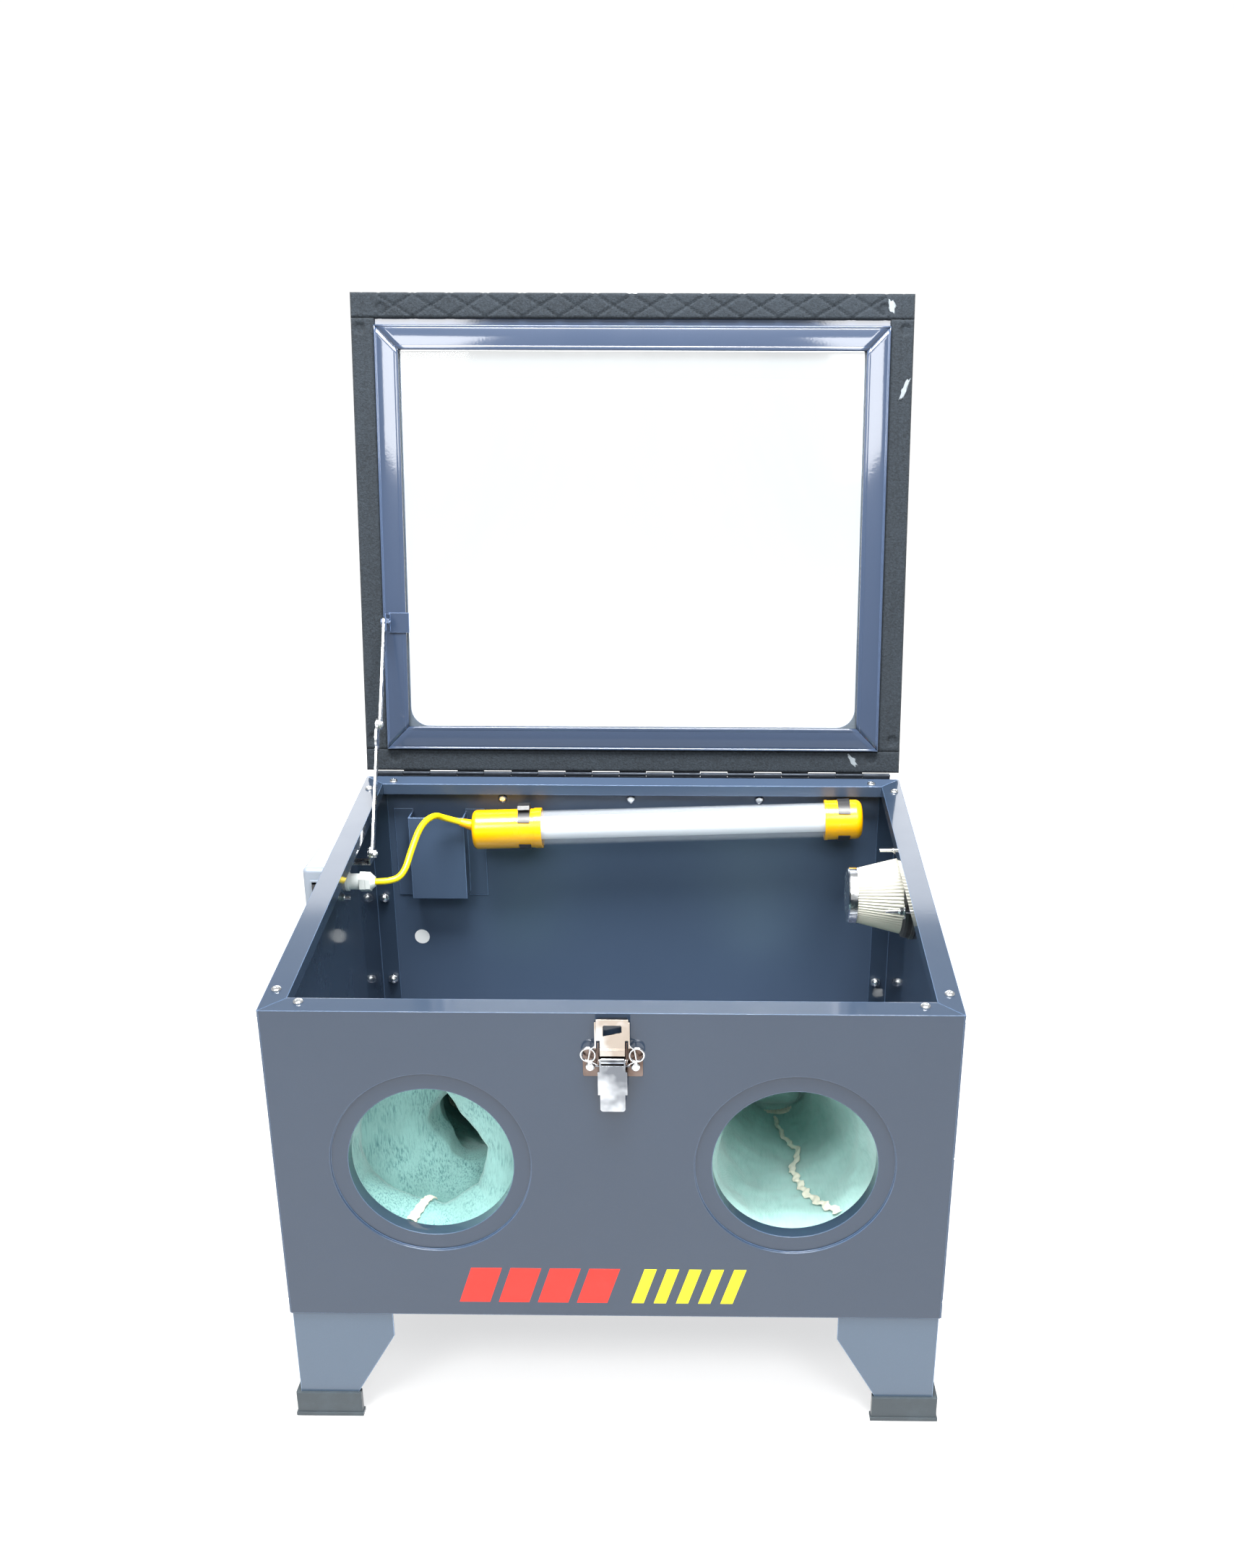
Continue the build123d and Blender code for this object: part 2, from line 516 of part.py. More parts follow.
# ---- cable gland on the left wall and the lamp's cable ----
GLAND_TIP_X = -263.6
with BuildPart() as gland_body:
    disc(looking(-HALF_W - 1, GLAND_Y, GLAND_Z, (1, 0, 0)), 6.0, 8)
    disc(looking(-INNER_W, GLAND_Y, GLAND_Z, (1, 0, 0)), 10.0, 3)
    disc(looking(-INNER_W, GLAND_Y, GLAND_Z, (1, 0, 0)), 8.4, 14.6)
    with BuildSketch(Plane(origin=at(-279.2, GLAND_Y, GLAND_Z), x_dir=(0, 0, 1), z_dir=(1, 0, 0))):
        RegularPolygon(9.5, 6, major_radius=False)
    extrude(amount=6)
    disc(looking(-HALF_W - 2, GLAND_Y, GLAND_Z, (1, 0, 0)), CABLE_R + 0.2, 40, mode=Mode.SUBTRACT)
save(gland_body, "gland_body")

with BuildPart() as gland_cap:
    with BuildSketch(Plane(origin=at(-273.0, GLAND_Y, GLAND_Z), x_dir=(0, 0, 1), z_dir=(1, 0, 0))):
        RegularPolygon(9.2, 6, major_radius=False)
    extrude(amount=5)
    with Locations(looking(-268.1, GLAND_Y, GLAND_Z, (1, 0, 0))):
        Cone(8.6, 5.2, 4.5, align=UP)
save(gland_cap, "gland_cap")

# free run of the cable from the gland's tip to the lamp's boot
BOOT_TIP = tuple(BOOT_AT[i] + BOOT_LEN * BOOT_DIR[i] for i in range(3))
CABLE_ROUTE = [(GLAND_TIP_X, GLAND_Y, GLAND_Z), (-247.5, GLAND_Y, GLAND_Z), (-235.5, 360.3, 297.2),
               (-230, 384, 318), (-223.5, 409, 336), (-213, 432, 340.5), (-204.5, 446.8, 332.5), BOOT_TIP]
CABLE_STRAIGHT = 0.45     # share of the shorter run that each arc takes up


def route_radii(points):
    """Largest arc at each corner that leaves room for its neighbours."""
    radii = []
    for a, b, c in zip(points, points[1:], points[2:]):
        run_in, run_out = Vector(*b) - Vector(*a), Vector(*c) - Vector(*b)
        turn = radians(run_in.get_angle(run_out))
        radii.append(CABLE_STRAIGHT * min(run_in.length, run_out.length) / tan(turn / 2))
    return radii


cable_radii = route_radii(CABLE_ROUTE)
with BuildPart() as lamp_cable:
    with BuildLine() as cable_line:
        FilletPolyline(*[at(*p) for p in CABLE_ROUTE], radius=cable_radii)
    with BuildSketch(Plane(origin=cable_line.line @ 0, z_dir=cable_line.line % 0)):
        Circle(CABLE_R)
    sweep()
save(lamp_cable, "lamp_cable")
cable_length = cable_line.wires()[0].length
tube_volume = pi * CABLE_R**2 * cable_length
print("cable length", round(cable_length, 1), "radii", [round(r, 1) for r in cable_radii],
      "volume ratio", round(lamp_cable.part.volume / tube_volume, 4))

# ---- switch box outside the left wall ----
BOX_X, BOX_Y0, BOX_Y1, BOX_Z0, BOX_Z1 = -330.0, 312.0, 395.0, 268.0, 319.0
ROCK_X, ROCK_Z = -315.0, 293.5
BOX_WALL = 2.5
with BuildPart() as switch_box:
    block(BOX_X, -HALF_W - 0.05, BOX_Y0, BOX_Y1, BOX_Z0, BOX_Z1)
    outer_edges = switch_box.edges().filter_by(lambda e: e.center().X < -HALF_W - 1)
    fillet(outer_edges, 5.0)
    block(BOX_X + BOX_WALL, -HALF_W + 1, BOX_Y0 + BOX_WALL, BOX_Y1 - BOX_WALL,
          BOX_Z0 + BOX_WALL, BOX_Z1 - BOX_WALL, mode=Mode.SUBTRACT)
    block(ROCK_X - 7, ROCK_X + 7, BOX_Y0 - 2.0, BOX_Y0 + 0.3, ROCK_Z - 13, ROCK_Z + 13)
    block(ROCK_X - 5.6, ROCK_X + 5.6, BOX_Y0 - 3, BOX_Y0 + 4, ROCK_Z - 11.2, ROCK_Z + 11.2,
          mode=Mode.SUBTRACT)
save(switch_box, "switch_box")

ROCK_PIVOT_Y = BOX_Y0 + 5.0
ROCK_TILT = 8.0
with BuildPart() as switch_rocker:
    outline = [(-6.0, -9.8), (-8.2, -9.6), (-6.4, 0), (-8.2, 9.6), (-6.0, 9.8), (3, 7), (3, -7)]
    swing = radians(ROCK_TILT)
    turned = [(y * cos(swing) - z * sin(swing), y * sin(swing) + z * cos(swing)) for y, z in outline]
    slab(facing_side(ROCK_X - 5.2), [(ROCK_PIVOT_Y + y, ROCK_Z + z) for y, z in turned], 10.4)
save(switch_rocker, "switch_rocker")

# ---- gloves ----
# depth, sideways drift, height, half width, half height of each section
GLOVE_SECTIONS = [(6, 0, 155, 75, 75), (20, 0, 155, 75, 75), (60, 3, 153, 68, 66), (120, 7, 145, 55, 52),
                  (175, 9, 134, 41, 37), (215, 9, 126, 34, 28), (262, 8, 116, 44, 21), (308, 6, 106, 44, 17),
                  (345, 4, 99, 32, 12)]
GLOVE_WALL = 1.6


def glove(side):
    """Fabric sleeve with its hand, open at the glove hole."""
    with BuildPart() as built:
        for wall, mode in ((0, Mode.ADD), (GLOVE_WALL, Mode.SUBTRACT)):
            for y, drift, z, rx, rz in GLOVE_SECTIONS:
                spot = at(side * (GLOVE_X - drift), y - wall, z)
                with BuildSketch(Plane(origin=spot, x_dir=(1, 0, 0), z_dir=(0, 1, 0))):
                    Ellipse(rx - wall, rz - wall)
            loft(ruled=True, mode=mode)
    return built


glove_left = glove(-1)
save(glove_left, "glove_left")
glove_right = glove(1)
save(glove_right, "glove_right")

CLAMP_R = GLOVE_SECTIONS[0][3] + 0.1
with BuildPart() as glove_clamps:
    for side in (-1, 1):
        band = looking(side * GLOVE_X, 8.0, GLOVE_Z, (0, 1, 0))
        disc(band, CLAMP_R + 1.0, 9)
        disc(band, CLAMP_R, 9, mode=Mode.SUBTRACT)
        block(side * GLOVE_X - 11, side * GLOVE_X + 11, 7.5, 17.5,
              GLOVE_Z + CLAMP_R + 0.4, GLOVE_Z + CLAMP_R + 8)
save(glove_clamps, "glove_clamps")

# ---- spring draw latch ----
PIVOT_Y, PIVOT_Z = -7.0, 259.5         # lever on the base
DRAW_Y, DRAW_Z = -5.0, 254.0           # claw springs on the lever
LATCH_PIN_R, DRAW_PIN_R = 1.4, 1.1
BACK_PLATE, PLATE_GAP = 1.2, 0.05


def latch_block(x0, x1, y0, y1, z0, z1, mode=Mode.ADD):
    block(LATCH_X + x0, LATCH_X + x1, y0, y1, z0, z1, mode=mode)


def cross_pin(y, z, radius, half, mode=Mode.ADD):
    """Pin along x, centred on the latch."""
    disc(looking(LATCH_X - half, y, z, (1, 0, 0)), radius, 2 * half, mode=mode)


def cheeks(inner, thick, points):
    """Pair of side cheeks from one outline in y and z."""
    for side in (-1, 1):
        plane = facing_side(LATCH_X + side * inner)
        slab(plane, points, side * thick)


with BuildPart() as latch_base:
    latch_block(-25.3, 25.3, -BACK_PLATE - PLATE_GAP, -PLATE_GAP, 242.5, 268)
    corners = latch_base.edges().filter_by(Axis.Y)
    fillet(corners, 1.5)
    cheeks(11.3, 1.2, [(-1.0, 258), (-7, 255.5), (-10.6, 257.5), (-10.8, 262), (-8.6, 276.5),
                       (-6.6, 276.5), (-1.0, 266)])
    cross_pin(PIVOT_Y, PIVOT_Z, LATCH_PIN_R + RUN, 14, mode=Mode.SUBTRACT)
    for x in (-19.1, 19.1):
        disc(looking(LATCH_X + x, -3, 251.6, (0, 1, 0)), SCREW_HOLE, 4, mode=Mode.SUBTRACT)
save(latch_base, "latch_base")

latch_screw = dome_screw(4.0, 2.2, 2.1, 6.0)
with BuildPart() as latch_screws:
    place(latch_screw, [looking(LATCH_X + x, -BACK_PLATE - PLATE_GAP, 251.6, (0, -1, 0))
                        for x in (-19.1, 19.1)])
save(latch_screws, "latch_screws")

with BuildPart() as latch_pin:
    cross_pin(PIVOT_Y, PIVOT_Z, LATCH_PIN_R, 12.7)
save(latch_pin, "latch_pin")

LEVER_OUT, LEVER_IN = -10.2, -9.0
with BuildPart() as latch_lever:
    latch_block(-12.4, 12.4, LEVER_OUT, LEVER_IN, 229, 250.5)
    latch_block(-10.6, 10.6, LEVER_OUT, LEVER_IN, 213.4, 229)
    latch_block(-10.9, 10.9, LEVER_OUT, LEVER_IN, 250.5, 256)
    fillet(latch_lever.edges().filter_by(Axis.Y).group_by(Axis.Z)[0], 2.5)
    cross_pin(LEVER_OUT + 1.6, 214.6, 1.6, 8.5)
    cheeks(9.7, 1.2, [(-3.2, 262.0), (-9.9, 262.0), (LEVER_OUT, 256), (LEVER_OUT, 229), (-8, 229),
                      (-3, 250)])
    cross_pin(PIVOT_Y, PIVOT_Z, 2.6, 9.7)
    cross_pin(PIVOT_Y, PIVOT_Z, LATCH_PIN_R + RUN, 12, mode=Mode.SUBTRACT)
    cross_pin(DRAW_Y, DRAW_Z, DRAW_PIN_R, 14.4)
save(latch_lever, "latch_lever")

WINDOW = [(-7.8, 281.5), (7.8, 285.0), (7.8, 290.5), (7.0, 291.5), (-7.0, 291.5), (-7.8, 290.5)]
with BuildPart() as latch_claw:
    latch_block(-13.5, 13.5, -6.2, -5.0, 277.5, 296.8)
    latch_block(-10.5, 10.5, -6.2, -5.0, 270, 277.5)
    slab(facing_side(LATCH_X - 10.5), [(-5.0, 271), (-6.2, 271), (-7.6, 269), (-7.6, 264), (-6.4, 264),
                                       (-6.4, 268.6)], 21)
    latch_block(-12.5, 12.5, -6.2, -1.6, 295.6, 296.8)
    for side in (-1, 1):
        latch_block(side * 13.5, side * 14.7, -9.2, -5.0, 272, 295.5)
    slab(facing_front(-8), [(LATCH_X + x, z) for x, z in WINDOW], -5, mode=Mode.SUBTRACT)
save(latch_claw, "latch_claw")

COIL_X, COIL_Z, COIL_R, WIRE_R = 20.4, 265.3, 6.1, 0.75
with BuildPart() as latch_springs:
    for side in (-1, 1):
        coil_x = LATCH_X + side * COIL_X
        with Locations(looking(coil_x, -7.2, COIL_Z, (0, -1, 0))):
            Torus(COIL_R, WIRE_R)
        leg_top = Vector(*at(coil_x, -7.2, COIL_Z + COIL_R))
        claw_end = Vector(*at(LATCH_X + side * 15.05, -7.2, 274.2))
        leg_low = Vector(*at(coil_x, -7.2, COIL_Z - COIL_R))
        pin_end = Vector(*at(LATCH_X + side * 13.6, DRAW_Y - 1.0, DRAW_Z + 2.6))
        for start, end in ((leg_top, claw_end), (leg_low, pin_end)):
            with Locations(Plane(origin=start, z_dir=end - start)):
                Cylinder(WIRE_R - 0.05, (end - start).length, align=UP)
        with Locations(Plane(origin=at(LATCH_X + side * 12.95, DRAW_Y, DRAW_Z), z_dir=(side, 0, 0))):
            Cylinder(2.2, 1.3, align=UP)
            Cylinder(DRAW_PIN_R + RUN, 1.3, align=UP, mode=Mode.SUBTRACT)
save(latch_springs, "latch_springs")

# ---- folding stay on the left side, straight while the lid is open ----
STAY_FOOT = (367.0, 317.5)             # lower pivot, y and z
STAY_S, STAY_OFF = 166.5, 22.0         # upper pivot in the lid's own directions
STAY_LOW = 140.8                       # lower link, pivot to elbow
STAY_HALF, STAY_T, STAY_PIN = 4.5, 2.4, 1.9
LOW_X, TOP_X = -269.4, -266.8          # left faces of the two links

stay_top = (DEPTH + STAY_S * cos(OPEN) - STAY_OFF * sin(OPEN),
            REAR_H + STAY_S * sin(OPEN) + STAY_OFF * cos(OPEN))
stay_rise = atan2(stay_top[1] - STAY_FOOT[1], stay_top[0] - STAY_FOOT[0])
stay_elbow = (STAY_FOOT[0] + STAY_LOW * cos(stay_rise), STAY_FOOT[1] + STAY_LOW * sin(stay_rise))


def bar(x, start, end, bulge):
    """Flat link with round ends, from one pivot to the other."""
    length = hypot(end[0] - start[0], end[1] - start[1])
    middle = ((start[0] + end[0]) / 2, (start[1] + end[1]) / 2)
    with BuildSketch(facing_side(x)) as outline:
        with Locations(middle):
            SlotCenterToCenter(length, 2 * STAY_HALF, rotation=degrees(stay_rise))
        with Locations(start, end):
            Circle(STAY_HALF + 1.3)
        if bulge:
            with Locations((end[0] - 15 * cos(stay_rise) - 4 * sin(stay_rise),
                            end[1] - 15 * sin(stay_rise) + 4 * cos(stay_rise))):
                Ellipse(6.0, 11.0, rotation=degrees(stay_rise) - 90)
    extrude(outline.sketch, amount=STAY_T)


def pivot_hole(x, point):
    disc(looking(x - 1, point[0], point[1], (1, 0, 0)), STAY_PIN + RUN, STAY_T + 2, mode=Mode.SUBTRACT)


def rivet(x, point, direction):
    disc(looking(x, point[0], point[1], (direction, 0, 0)), 3.2, 1.4)


with BuildPart() as stay_lower_link:
    bar(LOW_X, STAY_FOOT, stay_elbow, True)
    pivot_hole(LOW_X, STAY_FOOT)
    rivet(LOW_X, stay_elbow, -1)
save(stay_lower_link, "stay_lower_link")

with BuildPart() as stay_upper_link:
    bar(TOP_X, stay_elbow, stay_top, False)
    pivot_hole(TOP_X, stay_top)
    rivet(TOP_X + STAY_T, stay_elbow, 1)
save(stay_upper_link, "stay_upper_link")


def pivot_bolt(left, right, point, head, nut):
    """Bolt along x with its head on the left and a nut on the right."""
    disc(looking(left - head, point[0], point[1], (1, 0, 0)), 4.2, head)
    disc(looking(left, point[0], point[1], (1, 0, 0)), STAY_PIN, right - left + nut + 1.2)
    with BuildSketch(facing_side(right)) as hexagon:
        with Locations(point):
            RegularPolygon(4.0, 6, major_radius=False)
    extrude(hexagon.sketch, amount=nut)


with BuildPart() as stay_wall_bracket:
    fy, fz = STAY_FOOT
    block(-INNER_W, -INNER_W + 1.4, fy - 17, fy + 17, fz - 14, fz + 10)
    block(-INNER_W, LOW_X - 0.3, fy - 9, fy + 9, fz - 10, fz - 8.6)
    block(LOW_X - 1.7, LOW_X - 0.3, fy - 9, fy + 9, fz - 10, fz + 8)
    pivot_bolt(LOW_X - 1.7, LOW_X + STAY_T + 0.2, STAY_FOOT, 1.8, 2.6)
    for y in (-13, 13):
        disc(looking(-INNER_W + 1.4, fy + y, fz, (1, 0, 0)), 3.0, 1.6)
save(stay_wall_bracket, "stay_wall_bracket")

FRAME_OFF = 4.5          # face of the window frame above the seal plane
with BuildPart() as stay_lid_bracket:
    panel(LID.offset(FRAME_OFF), -264, -242, STAY_S - 10.5, STAY_S + 10.5, 1.2)
    panel(LID.offset(FRAME_OFF), TOP_X + STAY_T + 0.6, TOP_X + STAY_T + 1.8, STAY_S - 9, STAY_S + 9,
          STAY_OFF + 6 - FRAME_OFF)
    pivot_bolt(TOP_X - 0.2, TOP_X + STAY_T + 1.8, stay_top, 1.8, 2.6)
save(stay_lid_bracket, "stay_lid_bracket")

# ---- piano hinge ----
KNUCKLE, KNUCKLES, HINGE_HALF = 30.0, 19, 285.0
LEAF_T = 1.0


def knuckle_spans(odd):
    """Ends of every second knuckle along x."""
    first = 1 if odd else 0
    return [(-HINGE_HALF + i * KNUCKLE + 0.2, -HINGE_HALF + (i + 1) * KNUCKLE - 0.2)
            for i in range(first, KNUCKLES, 2)]


def barrel(spans, radius, mode=Mode.ADD):
    for x0, x1 in spans:
        disc(looking(x0, HINGE_Y, HINGE_Z, (1, 0, 0)), radius, x1 - x0, mode=mode)


WHOLE = [(-HINGE_HALF - 1, HINGE_HALF + 1)]
with BuildPart() as hinge_leaf_cabinet:
    block(-HINGE_HALF, HINGE_HALF, DEPTH + 0.2, DEPTH + 0.2 + LEAF_T, HINGE_Z - 27, HINGE_Z)
    for x0, x1 in knuckle_spans(True):
        block(x0 - 0.4, x1 + 0.4, DEPTH - 1, DEPTH + 2, HINGE_Z - 1.9, HINGE_Z + 1, mode=Mode.SUBTRACT)
    barrel(knuckle_spans(False), BARREL_R)
    barrel(WHOLE, PIN_R + RUN, mode=Mode.SUBTRACT)
save(hinge_leaf_cabinet, "hinge_leaf_cabinet")

with BuildPart() as hinge_pin:
    barrel([(-HINGE_HALF - 0.5, HINGE_HALF + 0.5)], PIN_R)
save(hinge_pin, "hinge_pin")

LEAF_OFF, LEAF_END = PIN_OFF - BARREL_R + 0.1, 27.0
with BuildPart() as hinge_leaf_lid:
    panel(LID.offset(LEAF_OFF), -HINGE_HALF, HINGE_HALF, PIN_S, LEAF_END, LEAF_T)
    for x0, x1 in knuckle_spans(False):
        panel(LID.offset(LEAF_OFF - 1), x0 - 0.4, x1 + 0.4, PIN_S - 1, PIN_S + 3.4, LEAF_T + 2,
              mode=Mode.SUBTRACT)
    barrel(knuckle_spans(True), BARREL_R)
    barrel(WHOLE, PIN_R + RUN, mode=Mode.SUBTRACT)
save(hinge_leaf_lid, "hinge_leaf_lid")

# ---- lid ----
LID_S0 = 7.5
SKIN_OFF = -SEAL_BACK - 0.25
EDGE_DEEP = 12.0
FRAME_X, FRAME_S0, FRAME_S1, FRAME_W = 270.5, 30.5, 470.5, 25.0
CUT_X, CUT_S0, CUT_S1, CUT_R = 244.5, 56.0, 464.0, 20.0
with BuildPart() as lid_panel:
    panel(LID.offset(SKIN_OFF), -HALF_W, HALF_W, LID_S0, LID_LEN, -SHEET)
    for side in SIDES:
        edge = ring_side(HALF_W, LID_S0, LID_LEN, SHEET, side)
        slab(LID.offset(SKIN_OFF), edge, -SHEET - EDGE_DEEP)
    panel(LID.offset(SKIN_OFF + 1), -CUT_X, CUT_X, CUT_S0, CUT_S1, -SHEET - 2, corner=CUT_R,
          mode=Mode.SUBTRACT)
save(lid_panel, "lid_panel")

PANE_OFF, PANE_T = SKIN_OFF + 0.1, 3.0
with BuildPart() as window_pane:
    panel(LID.offset(PANE_OFF), -262, 262, FRAME_S0 + 8, FRAME_S1 - 3, PANE_T)
save(window_pane, "window_pane")

with BuildPart() as window_frame:
    for side in SIDES:
        slab(LID.offset(FRAME_OFF), ring_side(FRAME_X, FRAME_S0, FRAME_S1, FRAME_W, side), -SHEET)
        outer_wall = ring_side(FRAME_X, FRAME_S0, FRAME_S1, SHEET, side)
        slab(LID.offset(FRAME_OFF), outer_wall, SKIN_OFF + 0.1 - FRAME_OFF)
        inset = FRAME_W - SHEET
        inner_wall = ring_side(FRAME_X - inset, FRAME_S0 + inset, FRAME_S1 - inset, SHEET, side)
        slab(LID.offset(FRAME_OFF), inner_wall, PANE_OFF + PANE_T + 0.1 - FRAME_OFF)
save(window_frame, "window_frame")

SEAL_FACE, SEAL_W = -0.5, 24.2
SHUT_SHIFT = PIN_S + HINGE_Y * cos(SLOPE) + (HINGE_Z - FRONT_H) * sin(SLOPE)
with BuildPart() as lid_seal:
    for x0, x1, s0, s1, back in ((-HALF_W, HALF_W, LID_LEN - 25, LID_LEN, SKIN_OFF + 0.1),
                                 (-HALF_W, HALF_W, 8.8, FRAME_S0 - 0.2, LEAF_OFF + LEAF_T + 0.1),
                                 (-HALF_W, -HALF_W + SEAL_W, FRAME_S0 - 0.2, LID_LEN - 25, SKIN_OFF + 0.1),
                                 (HALF_W - SEAL_W, HALF_W, FRAME_S0 - 0.2, LID_LEN - 25, SKIN_OFF + 0.1)):
        panel(LID.offset(back), x0, x1, s0, s1, SEAL_FACE - back)
    with Locations(LID.offset(SEAL_FACE)):
        with Locations(*[(x, SHUT_SHIFT - t) for x, t in rim_screw_spots()]):
            Cylinder(HEAD_R + 1.4, 2.4, align=DOWN, mode=Mode.SUBTRACT)
save(lid_seal, "lid_seal")

KEEPER_T = 1.2
with BuildPart() as latch_keeper:
    lid_edge = LID_LEN + 0.05
    panel(LID.offset(-8), LATCH_X - 14, LATCH_X + 14, lid_edge, lid_edge + KEEPER_T, -9.5)
    panel(LID.offset(-15.5), LATCH_X - 7, LATCH_X + 7, lid_edge, lid_edge + 2.4, -2.0)
save(latch_keeper, "latch_keeper")

# ---- services ----
with BuildPart() as air_inlet:
    inlet = looking(INNER_W - 6, INLET_Y, INLET_Z, (1, 0, 0))
    disc(inlet, 6.6, 20)
    with BuildSketch(Plane(origin=at(HALF_W, INLET_Y, INLET_Z), z_dir=(1, 0, 0))):
        RegularPolygon(11, 6, major_radius=False)
    extrude(amount=7)
    with BuildSketch(Plane(origin=at(INNER_W, INLET_Y, INLET_Z), z_dir=(-1, 0, 0))):
        RegularPolygon(10, 6, major_radius=False)
    extrude(amount=5)
    disc(looking(HALF_W + 7, INLET_Y, INLET_Z, (1, 0, 0)), 9.0, 6)
    disc(looking(HALF_W + 13, INLET_Y, INLET_Z, (1, 0, 0)), 6.0, 22)
    disc(looking(INNER_W - 8, INLET_Y, INLET_Z, (1, 0, 0)), 3.2, 70, mode=Mode.SUBTRACT)
save(air_inlet, "air_inlet")

OUTLET_LEN = 34.0
with BuildPart() as dust_outlet:
    disc(looking(OUTLET_X, DEPTH + 0.05, OUTLET_Z, (0, 1, 0)), OUTLET_R + 9, 2)
    disc(looking(OUTLET_X, DEPTH + 0.05, OUTLET_Z, (0, 1, 0)), OUTLET_R, OUTLET_LEN)
    disc(looking(OUTLET_X, DEPTH - 1, OUTLET_Z, (0, 1, 0)), OUTLET_R - 1.5, OUTLET_LEN + 3,
         mode=Mode.SUBTRACT)
save(dust_outlet, "dust_outlet")

# ---- blast gun resting on the grate ----
GUN_X, GUN_Z = 262.0, GRATE_Z + GRATE_T + 14.0
GUN_Y0, GUN_Y1 = 90.0, 205.0
TRIGGER_Y, TRIGGER_X = 158.0, 243.5
with BuildPart() as gun_body:
    disc(looking(GUN_X, GUN_Y0, GUN_Z, (0, 1, 0)), 13.5, GUN_Y1 - GUN_Y0)
    fillet(gun_body.edges().filter_by(GeomType.CIRCLE), 3.0)
    grip = [(GUN_X - 8, 170), (GUN_X - 8, 203), (207, 226), (200, 200)]
    slab(level(GUN_Z - 10), grip, 20)
    grip_edges = gun_body.edges().filter_by(Axis.Z).filter_by(lambda e: e.center().X < GUN_X - 14)
    fillet(grip_edges, 3.0)
    block(TRIGGER_X - 3.5, GUN_X - 8, TRIGGER_Y - 5, TRIGGER_Y + 5, GUN_Z - 8, GUN_Z - 5.2)
    block(TRIGGER_X - 3.5, GUN_X - 8, TRIGGER_Y - 5, TRIGGER_Y + 5, GUN_Z + 5.2, GUN_Z + 8)
    disc(looking(TRIGGER_X, TRIGGER_Y, GUN_Z - 8, (0, 0, 1)), 1.5 + RUN, 16, mode=Mode.SUBTRACT)
    disc(looking(GUN_X, GUN_Y0 - 1, GUN_Z, (0, 1, 0)), 7.0, 20, mode=Mode.SUBTRACT)
save(gun_body, "gun_body")

with BuildPart() as gun_nozzle:
    disc(looking(GUN_X, GUN_Y0 + 18, GUN_Z, (0, -1, 0)), 6.9, 19)
    disc(looking(GUN_X, GUN_Y0 - 0.2, GUN_Z, (0, -1, 0)), 11.5, 12)
    with Locations(looking(GUN_X, GUN_Y0 - 12.2, GUN_Z, (0, -1, 0))):
        Cone(9.0, 6.0, 22, align=UP)
    disc(looking(GUN_X, GUN_Y0 + 19, GUN_Z, (0, -1, 0)), 3.0, 60, mode=Mode.SUBTRACT)
save(gun_nozzle, "gun_nozzle")

with BuildPart() as gun_trigger:
    blade = [(TRIGGER_X + 3, TRIGGER_Y - 2.2), (TRIGGER_X + 3, TRIGGER_Y + 2.2), (218, 168), (214, 165)]
    slab(level(GUN_Z - 4.8), blade, 9.6)
    disc(looking(TRIGGER_X, TRIGGER_Y, GUN_Z - 7.9, (0, 0, 1)), 1.5, 15.8)
save(gun_trigger, "gun_trigger")
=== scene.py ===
from math import atan2, cos, hypot, pi, radians, sin

import bmesh
import bpy
from mathutils import Matrix, Vector, noise


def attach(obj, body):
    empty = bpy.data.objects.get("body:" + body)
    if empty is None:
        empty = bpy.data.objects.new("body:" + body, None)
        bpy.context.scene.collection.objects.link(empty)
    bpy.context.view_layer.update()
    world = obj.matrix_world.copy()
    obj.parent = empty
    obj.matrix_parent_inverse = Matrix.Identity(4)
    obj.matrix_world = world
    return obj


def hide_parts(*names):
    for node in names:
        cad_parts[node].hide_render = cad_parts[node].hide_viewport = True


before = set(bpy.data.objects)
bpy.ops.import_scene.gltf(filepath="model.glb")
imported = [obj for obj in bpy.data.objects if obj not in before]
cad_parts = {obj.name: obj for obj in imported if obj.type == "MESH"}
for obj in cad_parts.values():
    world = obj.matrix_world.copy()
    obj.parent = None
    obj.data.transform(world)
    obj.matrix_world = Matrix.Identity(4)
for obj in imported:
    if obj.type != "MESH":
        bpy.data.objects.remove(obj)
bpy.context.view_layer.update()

# Cabinet coordinates: millimetres, x across, y back from the front panel's face,
# z up from the panels' bottom edge. Y_FRONT and Z_BASE are their origin in the frame, in metres.
Y_FRONT, Z_BASE = -0.2952, 0.113
MM = 0.001
DEPTH, REAR_H, HALF_W = 490.0, 367.0, 295.0
LID_LEN = 503.0                  # hinge side to front edge
LID_OPEN = radians(79.33)        # lid's angle from the level, tilted back
SHEET = 1.2                      # sheet steel


def at(x, y, z):
    """Point in cabinet coordinates, as metres in the frame."""
    return Vector((x * MM, y * MM + Y_FRONT, z * MM + Z_BASE))


def on_lid(x, s, off):
    """Point on the lid: s along it from the hinge side, off from the seal plane, out of the lid."""
    y = DEPTH + s * cos(LID_OPEN) - off * sin(LID_OPEN)
    z = REAR_H + s * sin(LID_OPEN) + off * cos(LID_OPEN)
    return at(x, y, z)


